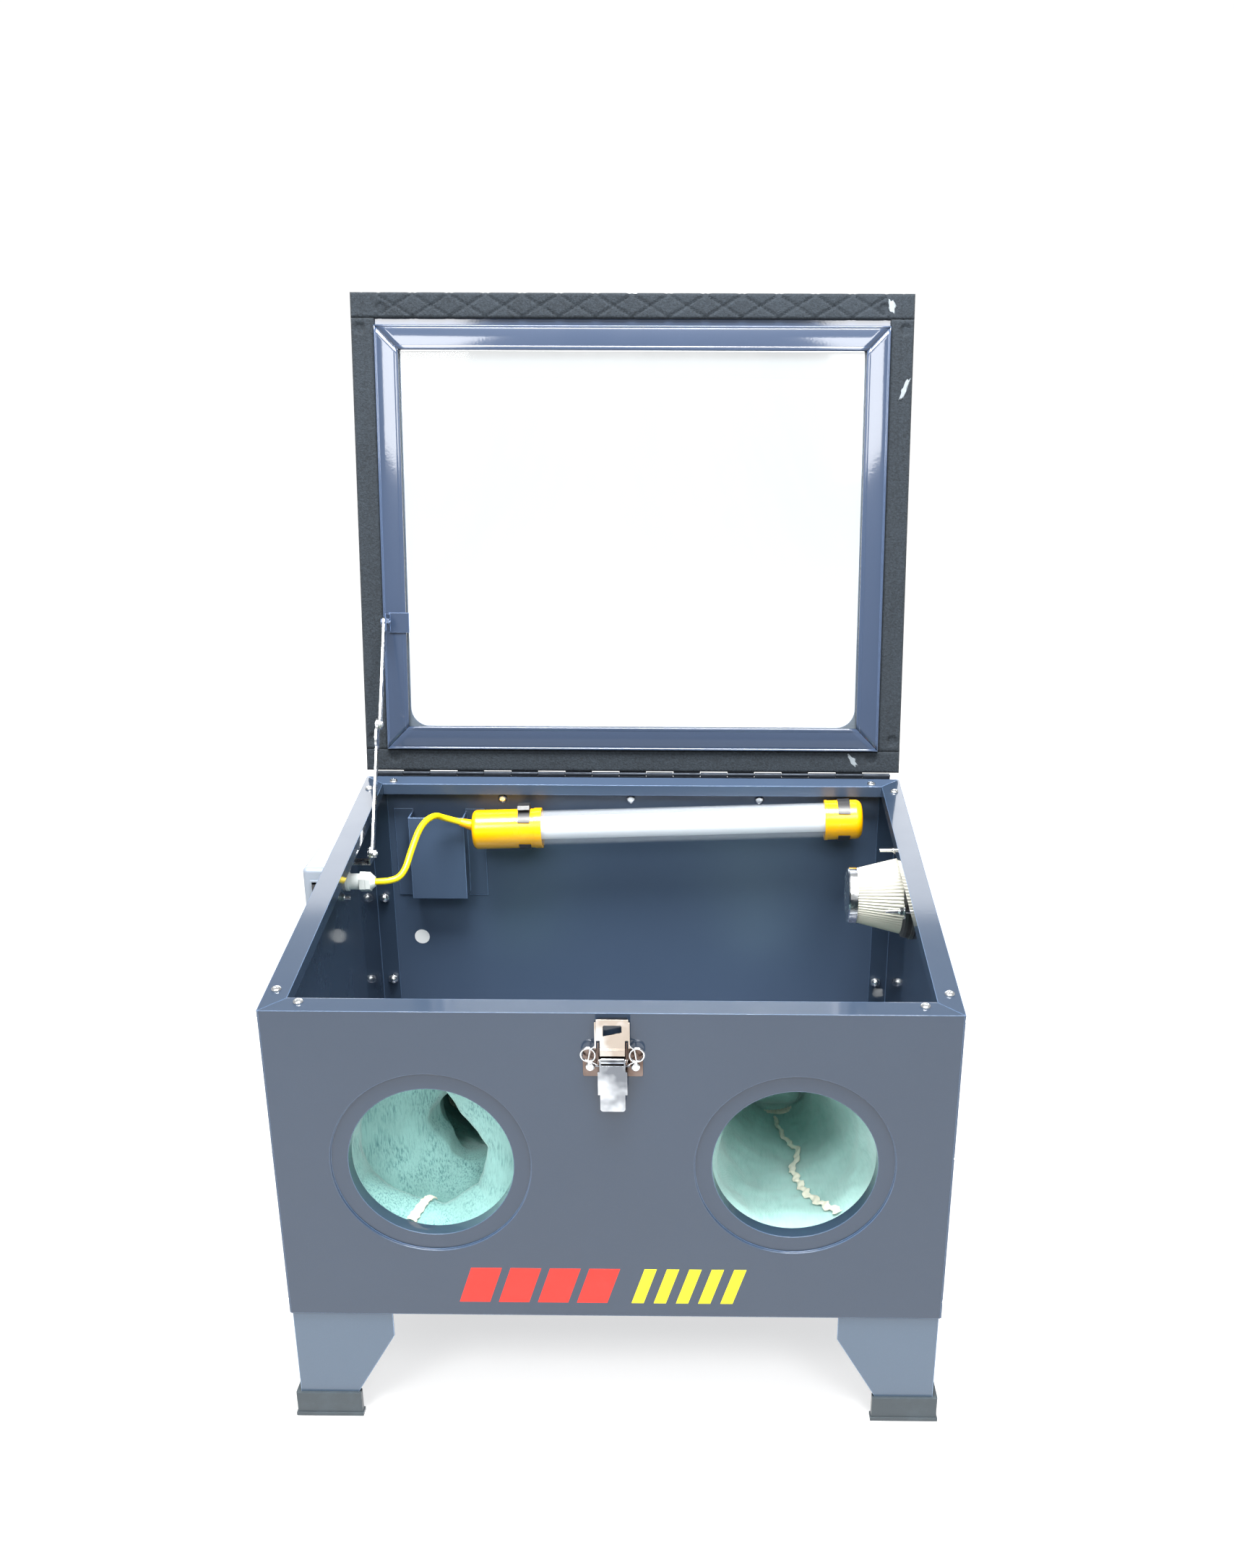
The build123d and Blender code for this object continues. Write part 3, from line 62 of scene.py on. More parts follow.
# ---- camera ----
CAM_AT = (67.44, -1156.61, 817.66)                  # cabinet coordinates
YAW, PITCH, ROLL = -0.00935, 0.39407, -0.00345      # radians
LENS, SHIFT = 35.05, (-0.0394, 0.1205)
forward = Vector((sin(YAW) * cos(PITCH), cos(YAW) * cos(PITCH), -sin(PITCH)))
level_right = Vector((cos(YAW), -sin(YAW), 0))
level_down = forward.cross(level_right)
right = cos(ROLL) * level_right + sin(ROLL) * level_down
down = cos(ROLL) * level_down - sin(ROLL) * level_right
cam = bpy.data.cameras.new("camera")
cam.sensor_width = 36.0
cam.lens = LENS
cam.shift_x, cam.shift_y = SHIFT
camera = bpy.data.objects.new("camera", cam)
turn = Matrix((right, -down, -forward)).transposed()
camera.matrix_world = Matrix.Translation(at(*CAM_AT)) @ turn.to_4x4()
bpy.context.collection.objects.link(camera)
bpy.context.scene.camera = camera
bpy.context.scene.view_settings.view_transform = "Standard"


# ---- materials ----
def srgb(r, g, b):
    """Linear colour from 0-255 values."""
    def one(v):
        v /= 255
        return v / 12.92 if v <= 0.04045 else ((v + 0.055) / 1.055) ** 2.4
    return (one(r), one(g), one(b), 1.0)


def scaled(color, k):
    return tuple(min(1.0, c * k) for c in color[:3]) + (1.0,)


class Shader:
    """Principled material with a few shorthands for its nodes."""

    def __init__(self, name, color, roughness, metallic=0.0, **sockets):
        self.mat = bpy.data.materials.new(name)
        self.mat.use_nodes = True
        self.tree = self.mat.node_tree
        self.bsdf = self.tree.nodes["Principled BSDF"]
        self.bsdf.inputs["Base Color"].default_value = color
        self.bsdf.inputs["Roughness"].default_value = roughness
        self.bsdf.inputs["Metallic"].default_value = metallic
        for key, value in sockets.items():
            self.bsdf.inputs[key.replace("_", " ")].default_value = value
        self.coords = self.add("ShaderNodeTexCoord").outputs["Object"]
        self.normal = None

    def add(self, kind, inputs=None, **props):
        made = self.tree.nodes.new(kind)
        for key, value in props.items():
            setattr(made, key, value)
        for key, value in (inputs or {}).items():
            if isinstance(value, bpy.types.NodeSocket):
                self.tree.links.new(value, made.inputs[key])
            else:
                made.inputs[key].default_value = value
        return made

    def link(self, out, socket):
        self.tree.links.new(out, self.bsdf.inputs[socket])

    def stretch(self, scale):
        return self.add("ShaderNodeMapping", {"Vector": self.coords, "Scale": scale}).outputs["Vector"]

    def noise(self, scale, detail=2.0, rough=0.5, vector=None, distortion=0.0):
        inputs = {"Vector": vector or self.coords, "Scale": scale, "Detail": detail, "Roughness": rough,
                  "Distortion": distortion}
        return self.add("ShaderNodeTexNoise", inputs).outputs["Fac"]

    def ramp(self, value, *stops):
        made = self.add("ShaderNodeValToRGB", {"Fac": value})
        bar = made.color_ramp
        while len(bar.elements) < len(stops):
            bar.elements.new(0.5)
        for element, (place, color) in zip(bar.elements, stops):
            element.position = place
            element.color = color if isinstance(color, tuple) else (color, color, color, 1.0)
        return made.outputs["Color"]

    def mix(self, fac, a, b):
        """Colour a to colour b; 0, 6 and 7 are the factor's and the two colours' sockets."""
        made = self.add("ShaderNodeMix", data_type="RGBA", blend_type="MIX")
        for index, value in ((0, fac), (6, a), (7, b)):
            if isinstance(value, bpy.types.NodeSocket):
                self.tree.links.new(value, made.inputs[index])
            else:
                made.inputs[index].default_value = value
        return made.outputs[2]

    def math(self, kind, a, b):
        return self.add("ShaderNodeMath", {0: a, 1: b}, operation=kind).outputs[0]

    def round_edges(self, radius):
        self.normal = self.add("ShaderNodeBevel", {"Radius": radius}, samples=4).outputs["Normal"]
        self.link(self.normal, "Normal")

    def bump(self, height, strength, distance):
        inputs = {"Height": height, "Strength": strength, "Distance": distance}
        if self.normal:
            inputs["Normal"] = self.normal
        self.normal = self.add("ShaderNodeBump", inputs).outputs["Normal"]
        self.link(self.normal, "Normal")

    def edge_mask(self, radius, low=0.90, high=0.995):
        """1 on sharp edges, 0 on flats."""
        bevel = self.add("ShaderNodeBevel", {"Radius": radius}, samples=4).outputs["Normal"]
        flat = self.add("ShaderNodeNewGeometry").outputs["Normal"]
        dot = self.add("ShaderNodeVectorMath", {0: bevel, 1: flat}, operation="DOT_PRODUCT").outputs["Value"]
        return self.ramp(dot, (low, 1.0), (high, 0.0))


def powder(name, color, rough=0.42, gloss=0.07):
    """Glossy powder coat with orange peel, faint tone changes and painted highlights along its sharp edges.
    """
    s = Shader(name, color, rough, Specular_IOR_Level=0.12, Coat_Weight=1.0, Coat_Roughness=gloss,
               Coat_IOR=1.5)
    tone = s.mix(s.noise(5.0, 3.0), scaled(color, 0.93), scaled(color, 1.08))
    speck = s.ramp(s.noise(1400.0, 1.0), (0.62, 0.0), (0.72, 1.0))
    tone = s.mix(s.math("MULTIPLY", speck, 0.12), tone, scaled(color, 1.9))
    # painted highlight: sharp edges take a much lighter copy of the paint
    edge = s.math("MULTIPLY", s.edge_mask(0.0011), 0.6)
    s.link(s.mix(edge, tone, scaled(color, 7.0)), "Base Color")
    s.link(s.ramp(s.noise(14.0, 4.0), (0.3, rough - 0.06), (0.7, rough + 0.07)), "Roughness")
    s.round_edges(0.0009)
    s.bump(s.noise(420.0, 2.0, 0.4), 0.035, 0.0004)
    s.tree.links.new(s.normal, s.bsdf.inputs["Coat Normal"])
    return s.mat


def plated(name, color, rough, reflection_tint=None, reflection_share=0.0, streak=(900.0, 60.0, 60.0)):
    """Bright plated steel with drawn streaks; a tint, where given, lays on patches of painted reflection."""
    s = Shader(name, color, rough, 1.0)
    tone = s.mix(s.noise(40.0, 3.0), scaled(color, 0.80), scaled(color, 1.12))
    if reflection_tint:
        # painted reflection: patches of the tint colour stand for surroundings mirrored in the plating
        patch = s.ramp(s.noise(28.0, 3.0, 0.6), (0.42, 0.0), (0.62, reflection_share))
        tone = s.mix(patch, tone, reflection_tint)
    s.link(tone, "Base Color")
    s.link(s.ramp(s.noise(120.0, 4.0), (0.3, max(0.05, rough - 0.10)), (0.7, rough + 0.12)), "Roughness")
    s.round_edges(0.0003)
    s.bump(s.noise(1.0, 3.0, 0.6, s.stretch(streak)), 0.12, 0.0002)
    return s.mat


def plastic(name, color, rough, grain=900.0, depth=0.00015, glow=0.0):
    """Moulded plastic or print with a fine grain; glow is how much light it gives."""
    s = Shader(name, color, rough, Coat_Weight=0.15, Coat_Roughness=0.2, Emission_Color=color,
               Emission_Strength=glow)
    s.link(s.mix(s.noise(9.0, 4.0), scaled(color, 0.90), scaled(color, 1.08)), "Base Color")
    smooth, worn = max(0.04, rough - 0.06), min(1.0, rough + 0.12)
    s.link(s.ramp(s.noise(60.0, 4.0), (0.3, smooth), (0.75, worn)), "Roughness")
    s.round_edges(0.0004)
    s.bump(s.noise(grain, 2.0), 0.25, depth)
    return s.mat


def rubber(name, color, rough):
    """Moulded rubber with a little pale dust."""
    s = Shader(name, color, rough, Sheen_Weight=0.12)
    dust = s.ramp(s.noise(22.0, 5.0, 0.65), (0.52, 0.0), (0.80, 0.35))
    s.link(s.mix(dust, color, scaled(color, 2.6)), "Base Color")
    s.round_edges(0.0006)
    s.bump(s.noise(1200.0, 3.0), 0.35, 0.0003)
    return s.mat


def foam(name):
    """Cellular foam sheet: fine pores with lighter cell walls."""
    base = srgb(34, 40, 46)
    s = Shader(name, base, 0.85, Sheen_Weight=0.08, Specular_IOR_Level=0.2)
    pores = {"Vector": s.coords, "Scale": 650.0, "Randomness": 1.0}
    cells = s.add("ShaderNodeTexVoronoi", pores).outputs["Distance"]
    grain = s.noise(420.0, 4.0, 0.7)
    dark = s.mix(s.ramp(grain, (0.35, 0.0), (0.65, 1.0)), scaled(base, 0.55), scaled(base, 1.25))
    patch = s.ramp(s.noise(10.0, 4.0), (0.45, 0.0), (0.75, 0.35))
    s.link(s.mix(patch, dark, scaled(base, 1.5)), "Base Color")
    s.bump(s.math("ADD", cells, grain), 0.55, 0.0007)
    return s.mat


def cloth(name, light, dark, streaks, upright=False):
    """Woven cotton: fine threads, worn patches and slubs, along the sleeve or upright."""
    s = Shader(name, light, 0.88, Sheen_Weight=0.35, Sheen_Roughness=0.5)
    patch = s.ramp(s.noise(16.0, 4.0, 0.6), (0.35, 0.0), (0.70, 1.0))
    tone = s.mix(patch, scaled(light, 0.80), scaled(light, 1.06))
    grain = (820.0, 820.0, 60.0) if upright else (520.0, 36.0, 520.0)
    slub = s.noise(1.0, 5.0, 0.62, s.stretch(grain), 0.3)
    cluster = s.ramp(s.noise(34.0, 2.0), (0.40, 0.25), (0.62, 1.0))
    share = s.math("MULTIPLY", s.ramp(slub, (0.46, 0.0), (0.66, 1.0)), cluster)
    share = s.math("MULTIPLY", share, streaks)
    s.link(s.mix(share, tone, dark), "Base Color")
    thread = {"Scale": 700.0, "Distortion": 1.5, "Detail": 1.0}
    along = {"Vector": s.stretch((1.0, 0.02, 1.0)), **thread}
    across = {"Vector": s.coords, **thread}
    warp = s.add("ShaderNodeTexWave", along, bands_direction="DIAGONAL").outputs["Fac"]
    weft = s.add("ShaderNodeTexWave", across, bands_direction="Y").outputs["Fac"]
    weave = s.math("ADD", s.math("MULTIPLY", warp, weft), slub)
    s.bump(weave, 0.35, 0.0005)
    return s.mat


def clear(name, color, alpha, reflection_film):
    """Clear sheet or tube with cloudy patches of painted filmy reflection; the last argument is how much of
    it shows.
    """
    s = Shader(name, color, 0.06, IOR=1.45, Coat_Weight=0.5, Coat_Roughness=0.03)
    # painted reflection: cloudy patches where the sheet is less clear
    reflection_cloud = s.noise(3.2, 4.0, 0.55, s.stretch((1.0, 1.0, 0.45)), 0.6)
    s.link(s.ramp(reflection_cloud, (0.40, alpha), (0.72, alpha + reflection_film)), "Alpha")
    s.bump(s.noise(9.0, 2.0), 0.05, 0.002)
    return s.mat


# one blue paint in lighter and darker copies, as painted light and shade: the rear wall and the legs are
# painted lighter than the front, sides and floor
blue = powder("coat_blue", srgb(39, 52, 69))
blue_wall_painted_lighter = powder("coat_blue_wall", srgb(54, 69, 90), 0.5, 0.34)
blue_lid = powder("coat_blue_lid", srgb(44, 56, 76), 0.36)
blue_leg_painted_lighter = powder("coat_blue_leg", srgb(70, 85, 102))
grate_coat = powder("coat_grate", srgb(70, 78, 96), 0.5)
zinc = plated("zinc", srgb(226, 229, 231), 0.2)
stay_zinc = plated("zinc_stay", srgb(222, 225, 228), 0.24, streak=(60.0, 900.0, 900.0))
# painted reflections: the tint patches on claw, lever and base plate, and the base plate's brownish colour
# itself, stand for surroundings mirrored in the plating
claw_plate = plated("zinc_claw", srgb(206, 204, 202), 0.14, srgb(140, 118, 92), 0.6)
lever_plate = plated("zinc_lever", srgb(196, 200, 204), 0.14, srgb(84, 88, 96), 0.85)
base_plate = plated("zinc_base", srgb(124, 110, 104), 0.2, srgb(82, 66, 58), 0.8)
dull_zinc = plated("zinc_dull", srgb(150, 152, 154), 0.36)
hinge_zinc = plated("zinc_hinge", srgb(46, 50, 56), 0.5)
foam_mat = foam("seal_foam")
film_mat = plastic("foam_tear", srgb(112, 120, 126), 0.4)
foot_mat = rubber("foot_rubber", srgb(44, 54, 60), 0.5)
ring_mat = rubber("ring_rubber", srgb(30, 32, 34), 0.55)
gasket_mat = rubber("gasket_dark", srgb(52, 54, 58), 0.6)
yellow = plastic("lamp_yellow", srgb(236, 172, 0), 0.18)
black = plastic("black_plastic", srgb(38, 38, 40), 0.42)
box_grey = plastic("box_grey", srgb(122, 131, 142), 0.3)
grey = plastic("gland_grey", srgb(214, 220, 219), 0.35)
cable_mat = plastic("cable_yellow", srgb(236, 210, 0), 0.40, 1500.0, 0.0001)
white_core = plastic("core_white", srgb(202, 207, 214), 0.35, glow=0.15)
ceramic = plastic("ceramic", srgb(226, 222, 210), 0.30)
alu = plated("gun_alu", srgb(165, 168, 172), 0.42, streak=(300.0, 300.0, 300.0))
spring_mat = plated("spring_wire", srgb(226, 228, 230), 0.10)
pane_mat = clear("pane", srgb(136, 146, 150), 0.13, 0.09)
tube_mat = clear("tube", srgb(226, 232, 238), 0.12, 0.08)
red_ink = plastic("decal_red", srgb(222, 24, 0), 0.4)
yellow_ink = plastic("decal_yellow", srgb(232, 222, 0), 0.4)
paper = plastic("sticker_white", srgb(226, 228, 228), 0.55)
pleat_mat = plastic("filter_paper", srgb(196, 194, 182), 0.85)
cloth_streaked = cloth("cloth_streaked", srgb(146, 196, 190), srgb(46, 104, 108), 0.85, True)
cloth_plain = cloth("cloth_plain", srgb(168, 208, 202), srgb(120, 174, 168), 0.4)
tape = cloth("cloth_cream", srgb(240, 236, 216), srgb(206, 198, 172), 0.2)

LOOKS = {
    blue: "front_panel left_panel right_panel floor_pan corner_gussets",
    blue_wall_painted_lighter: "rear_panel rear_baffle",
    blue_lid: "lid_panel window_frame stay_lid_bracket",
    blue_leg_painted_lighter: "leg_front_left leg_front_right leg_rear_left leg_rear_right",
    grate_coat: "work_grate grate_rails",
    zinc: "rim_screws wall_bolts side_bolts wall_screws filter_rods latch_screws filter_end_cap air_inlet "
          "latch_keeper latch_pin",
    claw_plate: "latch_claw",
    lever_plate: "latch_lever",
    stay_zinc: "stay_wall_bracket stay_lower_link stay_upper_link",
    base_plate: "latch_base",
    dull_zinc: "glove_clamps",
    hinge_zinc: "hinge_leaf_cabinet hinge_leaf_lid hinge_pin",
    foot_mat: "foot_caps",
    ring_mat: "filter_base_ring",
    gasket_mat: "filter_gasket",
    yellow: "lamp_cap_left lamp_cap_right lamp_boot",
    black: "lamp_clips switch_rocker dust_outlet",
    box_grey: "switch_box",
    grey: "gland_body gland_cap",
    white_core: "lamp_core",
    ceramic: "gun_nozzle",
    alu: "gun_body gun_trigger",
    pane_mat: "window_pane",
    tube_mat: "lamp_tube",
}
for look, names in LOOKS.items():
    for node_name in names.split():
        for material_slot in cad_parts[node_name].material_slots:
            material_slot.material = look


# ---- pieces ----
def piece(name, mesh, mat, body, replaces=None, smooth=True):
    """Puts a mesh or curve in the scene with its look and body, and hides the CAD part it replaces."""
    obj = bpy.data.objects.new(name, mesh)
    bpy.context.collection.objects.link(obj)
    mesh.materials.append(mat)
    if smooth and isinstance(mesh, bpy.types.Mesh):
        mesh.shade_smooth()
    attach(obj, body)
    if replaces:
        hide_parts(replaces)
    return obj


def mesh_of(name, points, faces):
    mesh = bpy.data.meshes.new(name)
    mesh.from_pydata([tuple(p) for p in points], [], faces)
    mesh.update()
    return mesh


def grid_faces(rows, cols, closed=False):
    """Quads of a grid of points; closed joins the last column to the first."""
    wrap = cols if closed else cols - 1
    return [(r * cols + c, r * cols + (c + 1) % cols, (r + 1) * cols + (c + 1) % cols, (r + 1) * cols + c)
            for r in range(rows - 1) for c in range(wrap)]


def applied(obj):
    """Bakes an object's modifiers into its mesh."""
    graph = bpy.context.evaluated_depsgraph_get()
    mesh = bpy.data.meshes.new_from_object(obj.evaluated_get(graph))
    obj.modifiers.clear()
    obj.data = mesh
    return obj


# cable from the gland to the lamp
GLAND_TIP = (-263.6, 349.0, 292.5)
CABLE_ROUTE = [GLAND_TIP, (-247.5, 349, 292.5), (-235.5, 360.3, 297.2), (-230, 384, 318), (-223.5, 409, 336),
               (-213, 432, 340.5), (-204.5, 446.8, 332.5), (-188.5, 451.1, 326.8)]
CABLE_R = 3.4
curve = bpy.data.curves.new("cable_sheath", "CURVE")
curve.dimensions = "3D"
line = curve.splines.new("NURBS")
line.points.add(len(CABLE_ROUTE) - 1)
for knot, spot in zip(line.points, CABLE_ROUTE):
    knot.co = (*at(*spot), 1.0)
line.order_u = 3
line.use_endpoint_u = True
line.resolution_u = 24
curve.bevel_depth = CABLE_R * MM
curve.bevel_resolution = 8
cable = piece("cable_sheath", curve, cable_mat, "cabinet", "lamp_cable")


# ---- gloves ----
GLOVE_X, CUFF_R = 158.0, 74.7
CUFF_START, CUFF_END = 6, 18          # depths between which the cuff grips its collar
WRIST_Y = 214                         # depth where the sleeve meets the hand
AROUND = 220                          # points around a sleeve
# depth, drift towards the middle, height, half width and half height of each section
MOUTH = [(y, 0, 155, CUFF_R, CUFF_R) for y in (CUFF_START, CUFF_END)]
CLOSED_END = [(WRIST_Y, 9, 126, 33, 27), (219, 9, 126, 2, 2)]
SECTIONS = {
    1: MOUTH + [(60, 3, 153, 68, 66), (120, 7, 145, 55, 52), (175, 9, 134, 41, 37)] + CLOSED_END,
    -1: MOUTH + [(50, 0, 155, 70, 68), (62, 14, 158, 55, 56), (74, 28, 161, 40, 42), (92, 32, 158, 34, 38),
                 (120, 24, 149, 34, 38), (175, 12, 136, 36, 35)] + CLOSED_END,
}
# corners of the folded mouth of the left sleeve, from the middle of its hole
THROAT = [(-73, -18), (-75, 8), (-63, 40), (-38, 62), (4, 68),
          (46, -2), (37, -43), (3, -66), (-25, -58), (-68, -33)]
THROAT_START, THROAT_Y = 17, 36.0     # depths where the fold starts and where it is whole
CREASE_AT, CREASE_WIDE = 3.6, 0.16    # long crease of the right sleeve, radians around it


def section_at(side, y):
    """Drift, height, half width and half height of a sleeve at one depth; side is 1 right, -1 left."""
    sections = SECTIONS[side]
    for low, high in zip(sections, sections[1:]):
        if y <= high[0]:
            k = (y - low[0]) / (high[0] - low[0])
            return [a + (b - a) * k for a, b in zip(low, high)][1:]
    return list(sections[-1][1:])


def polygon_radius(corners, angle):
    """Distance from the middle to a polygon's side in one direction."""
    best = 1e9
    dx, dz = cos(angle), sin(angle)
    for (x0, z0), (x1, z1) in zip(corners, corners[1:] + corners[:1]):
        det = dx * (z0 - z1) - dz * (x0 - x1)
        if abs(det) < 1e-9:
            continue
        dist = (x0 * (z0 - z1) - z0 * (x0 - x1)) / det
        share = (dx * z0 - dz * x0) / det
        if dist > 0 and -1e-6 <= share <= 1 + 1e-6:
            best = min(best, dist)
    return best


def ease(k):
    """Smooth step from 0 to 1."""
    k = max(0.0, min(1.0, k))
    return k * k * (3 - 2 * k)


def ripple(x, y, z, size, seed):
    """Smooth noise from about -1 to 1, with waves of one size."""
    return noise.noise(Vector((x / size + seed, y / size, z / size)))


def sleeve_point(side, y, angle):
    """Surface of a sleeve, with its folds."""
    drift, mid_z, rx, rz = section_at(side, y)
    free = ease((y - CUFF_END) / 22)
    if side < 0:
        throat = polygon_radius(THROAT, angle) / CUFF_R
        reach = ease((y - THROAT_START) / (THROAT_Y - THROAT_START)) * (1 - ease((y - THROAT_Y - 1.5) / 13))
        pull = 1 - (1 - throat) * reach
        rx, rz = rx * pull, rz * pull
        sag = 2.6 * sin(angle * 5 + y * 0.06) * ease((y - 48) / 30)
    else:
        away = angle - CREASE_AT + y * 0.006
        crease = atan2(sin(away), cos(away))
        sag = -5.5 * ease((y - 22) / 40) * 2.7 ** (-(crease / CREASE_WIDE) ** 2)
        sag += 1.6 * sin(angle * 3 + y * 0.03) * free
    x0, z0 = side * (GLOVE_X - drift) + rx * cos(angle), mid_z + rz * sin(angle)
    wrinkle = 3.0 * ripple(x0, y, z0, 30, 3.1) + 1.1 * ripple(x0, y, z0, 11, 7.7)
    grow = (wrinkle + sag) * free * min(1.0, (rx + rz) / 50)
    return at(x0 + grow * cos(angle), y, z0 + grow * sin(angle))


def sleeve(side, mat):
    """Sleeve from its cuff to the wrist, closed there, with the cloth's thickness."""
    rows = [CUFF_START + 1.5 * i for i in range(143)]
    points = [sleeve_point(side, y, 2 * pi * c / AROUND) for y in rows for c in range(AROUND)]
    name = "sleeve_left" if side < 0 else "sleeve_right"
    faces = grid_faces(len(rows), AROUND, True)
    obj = piece(name, mesh_of(name, points, faces), mat, "cabinet")
    thick = obj.modifiers.new("thick", "SOLIDIFY")
    thick.thickness, thick.offset = 0.001, -1.0
    return applied(obj)


def capsule(bm, a, b, r0, r1, flat=1.0):
    """Row of balls from a to b that a remesh melts into one form."""
    a, b = Vector(a), Vector(b)
    steps = max(2, int((b - a).length / 3.0))
    for i in range(steps + 1):
        k = i / steps
        r = r0 + (r1 - r0) * k
        spot = at(*(a + (b - a) * k))
        place = Matrix.Translation(spot) @ Matrix.Diagonal((r * MM, r * MM, r * MM * flat, 1))
        bmesh.ops.create_icosphere(bm, subdivisions=3, radius=1.0, matrix=place)


def hand(side, mat):
    """Hand of the glove: palm, four fingers and a thumb, lying on the grate."""
    x = side * (GLOVE_X - 7)
    bm = bmesh.new()
    for shift in (-20, -7, 7, 20):
        capsule(bm, (x + shift * 0.55, WRIST_Y, 124), (x + shift, 268, 113), 16, 15.5, 1.05)
    for shift, reach in ((-30, 322), (-10, 336), (10, 338), (30, 326)):
        capsule(bm, (x + shift * 0.8, 262, 113), (x + shift * 1.02, reach, 104 - reach * 0.01), 11.5, 8.6)
    inward = -side
    capsule(bm, (x + inward * 16, 232, 118), (x + inward * 33, 276, 108), 12.5, 9.5)
    capsule(bm, (x + inward * 33, 276, 108), (x + inward * 34, 292, 105), 9.5, 8.5)
    name = "hand_left" if side < 0 else "hand_right"
    mesh = bpy.data.meshes.new(name)
    bm.to_mesh(mesh)
    bm.free()
    obj = piece(name, mesh, mat, "cabinet", "glove_left" if side < 0 else "glove_right")
    melt = obj.modifiers.new("melt", "REMESH")
    melt.mode = "VOXEL"
    melt.voxel_size = 0.0022
    soft = obj.modifiers.new("soft", "SMOOTH")
    soft.factor, soft.iterations = 0.5, 8
    applied(obj)
    for vert in obj.data.vertices:
        p = vert.co * 1000
        swell = 1.5 * ripple(p.x, p.y, p.z, 18, 1.3) + 0.5 * ripple(p.x, p.y, p.z, 6, 4.4)
        vert.co += vert.normal * MM * swell
    obj.data.shade_smooth()


def wrist_band(side):
    """Ribbed cream band around the wrist."""
    drift, mid_z, rx, rz = section_at(side, WRIST_Y - 2)
    steps = 12
    points = []
    for row in range(steps + 1):
        turned = 2 * pi * row / steps
        for c in range(AROUND):
            angle = 2 * pi * c / AROUND
            swell = 2.2 + 2.4 * cos(turned) + 0.35 * sin(angle * 60)
            x = side * (GLOVE_X - drift) + (rx + swell) * cos(angle)
            points.append(at(x, WRIST_Y + 7 * sin(turned), mid_z + (rz + swell) * sin(angle)))
    name = "wrist_left" if side < 0 else "wrist_right"
    faces = grid_faces(steps + 1, AROUND, True)
    piece(name, mesh_of(name, points, faces), tape, "cabinet")


for side, mat in ((-1, cloth_streaked), (1, cloth_plain)):
    sleeve(side, mat)
    hand(side, mat)
    wrist_band(side)


def ribbon(name, side, route, width, crinkle, lift):
    """Narrow tape lying on the inside of a sleeve; route is (depth, angle in degrees)."""
    spots = []
    for (y0, a0), (y1, a1) in zip(route, route[1:]):
        spots += [(y0 + (y1 - y0) * i / 12, radians(a0 + (a1 - a0) * i / 12)) for i in range(12)]
    points = []
    for i, (y, angle) in enumerate(spots):
        mid_x, mid_z = side * GLOVE_X, section_at(side, y)[1]
        wave = crinkle * (sin(i * 0.9) + 0.6 * sin(i * 2.3))
        for k in range(5):
            across = (k - 2) / 2
            here = sleeve_point(side, y + wave * 0.5, angle + (across * width / 2 + wave) / 52)
            inward = (at(mid_x, y, mid_z) - here).normalized()
            points.append(here + inward * MM * (lift + 1.2 * (1 - across * across) + 0.8 * sin(i * 1.7 + k)))
    obj = piece(name, mesh_of(name, points, grid_faces(len(spots), 5)), tape, "cabinet")
    body = obj.modifiers.new("body", "SOLIDIFY")
    body.thickness, body.offset = 0.0009, 0.0
    round_off = obj.modifiers.new("round", "SUBSURF")
    round_off.levels = round_off.render_levels = 1
    applied(obj)


SEAM_RIGHT = [(197, -88), (160, -80), (130, -67), (100, -80), (80, -77), (60, -73), (38, -62), (20, -52)]
LOOP_LEFT = [(18, -110), (24, -108), (32, -104), (38, -100), (44, -97)]
ribbon("seam_right", 1, SEAM_RIGHT, 6.0, 1.3, 2.4)
ribbon("loop_left", -1, LOOP_LEFT, 7.0, 0.5, 2.4)


# ---- lid seal ----
SEAL_FACE = -0.5                        # foam's face
SKIN_OFF, LEAF_OFF = -5.15, -4.1        # its back, on the lid's skin and on the hinge leaf
CROSS_X, CROSSES = 268.0, 14            # crossed grooves of the front strip
# pockets for the heads of the rim screws: across the lid, and along it
POCKETS = [(sx * x, s) for sx in (-1, 1) for x, s in ((286, 467.5), (286, 41.6), (263, 487.7), (263, 21.4))]


def quilt(x, s):
    """Depth of the crossed grooves pressed into the front strip."""
    if abs(x) > CROSS_X:
        return 0.0
    pitch, low, high = 2 * CROSS_X / CROSSES, 479.5, 501.5
    k = (s - low) / (high - low)
    depth = 0.0
    for way in (k, 1 - k):
        gap = abs(((x / pitch - way) + 0.5) % 1.0 - 0.5) * pitch
        depth = max(depth, 1 - (gap / 3.0) ** 0.8)
    return 2.6 * max(0.0, depth)


def side_groove(x, s):
    """Shallow channel that runs down both side strips, beside the frame."""
    return 1.3 * ease(1 - abs(abs(x) - 283.0) / 2.0) if abs(x) > 276 else 0.0


def front_grooves(x, s):
    """Crossed grooves, and the side strips' channels carried on across the front strip."""
    return max(quilt(x, s), side_groove(x, s))


def plain(x, s):
    """No groove."""
    return 0.0


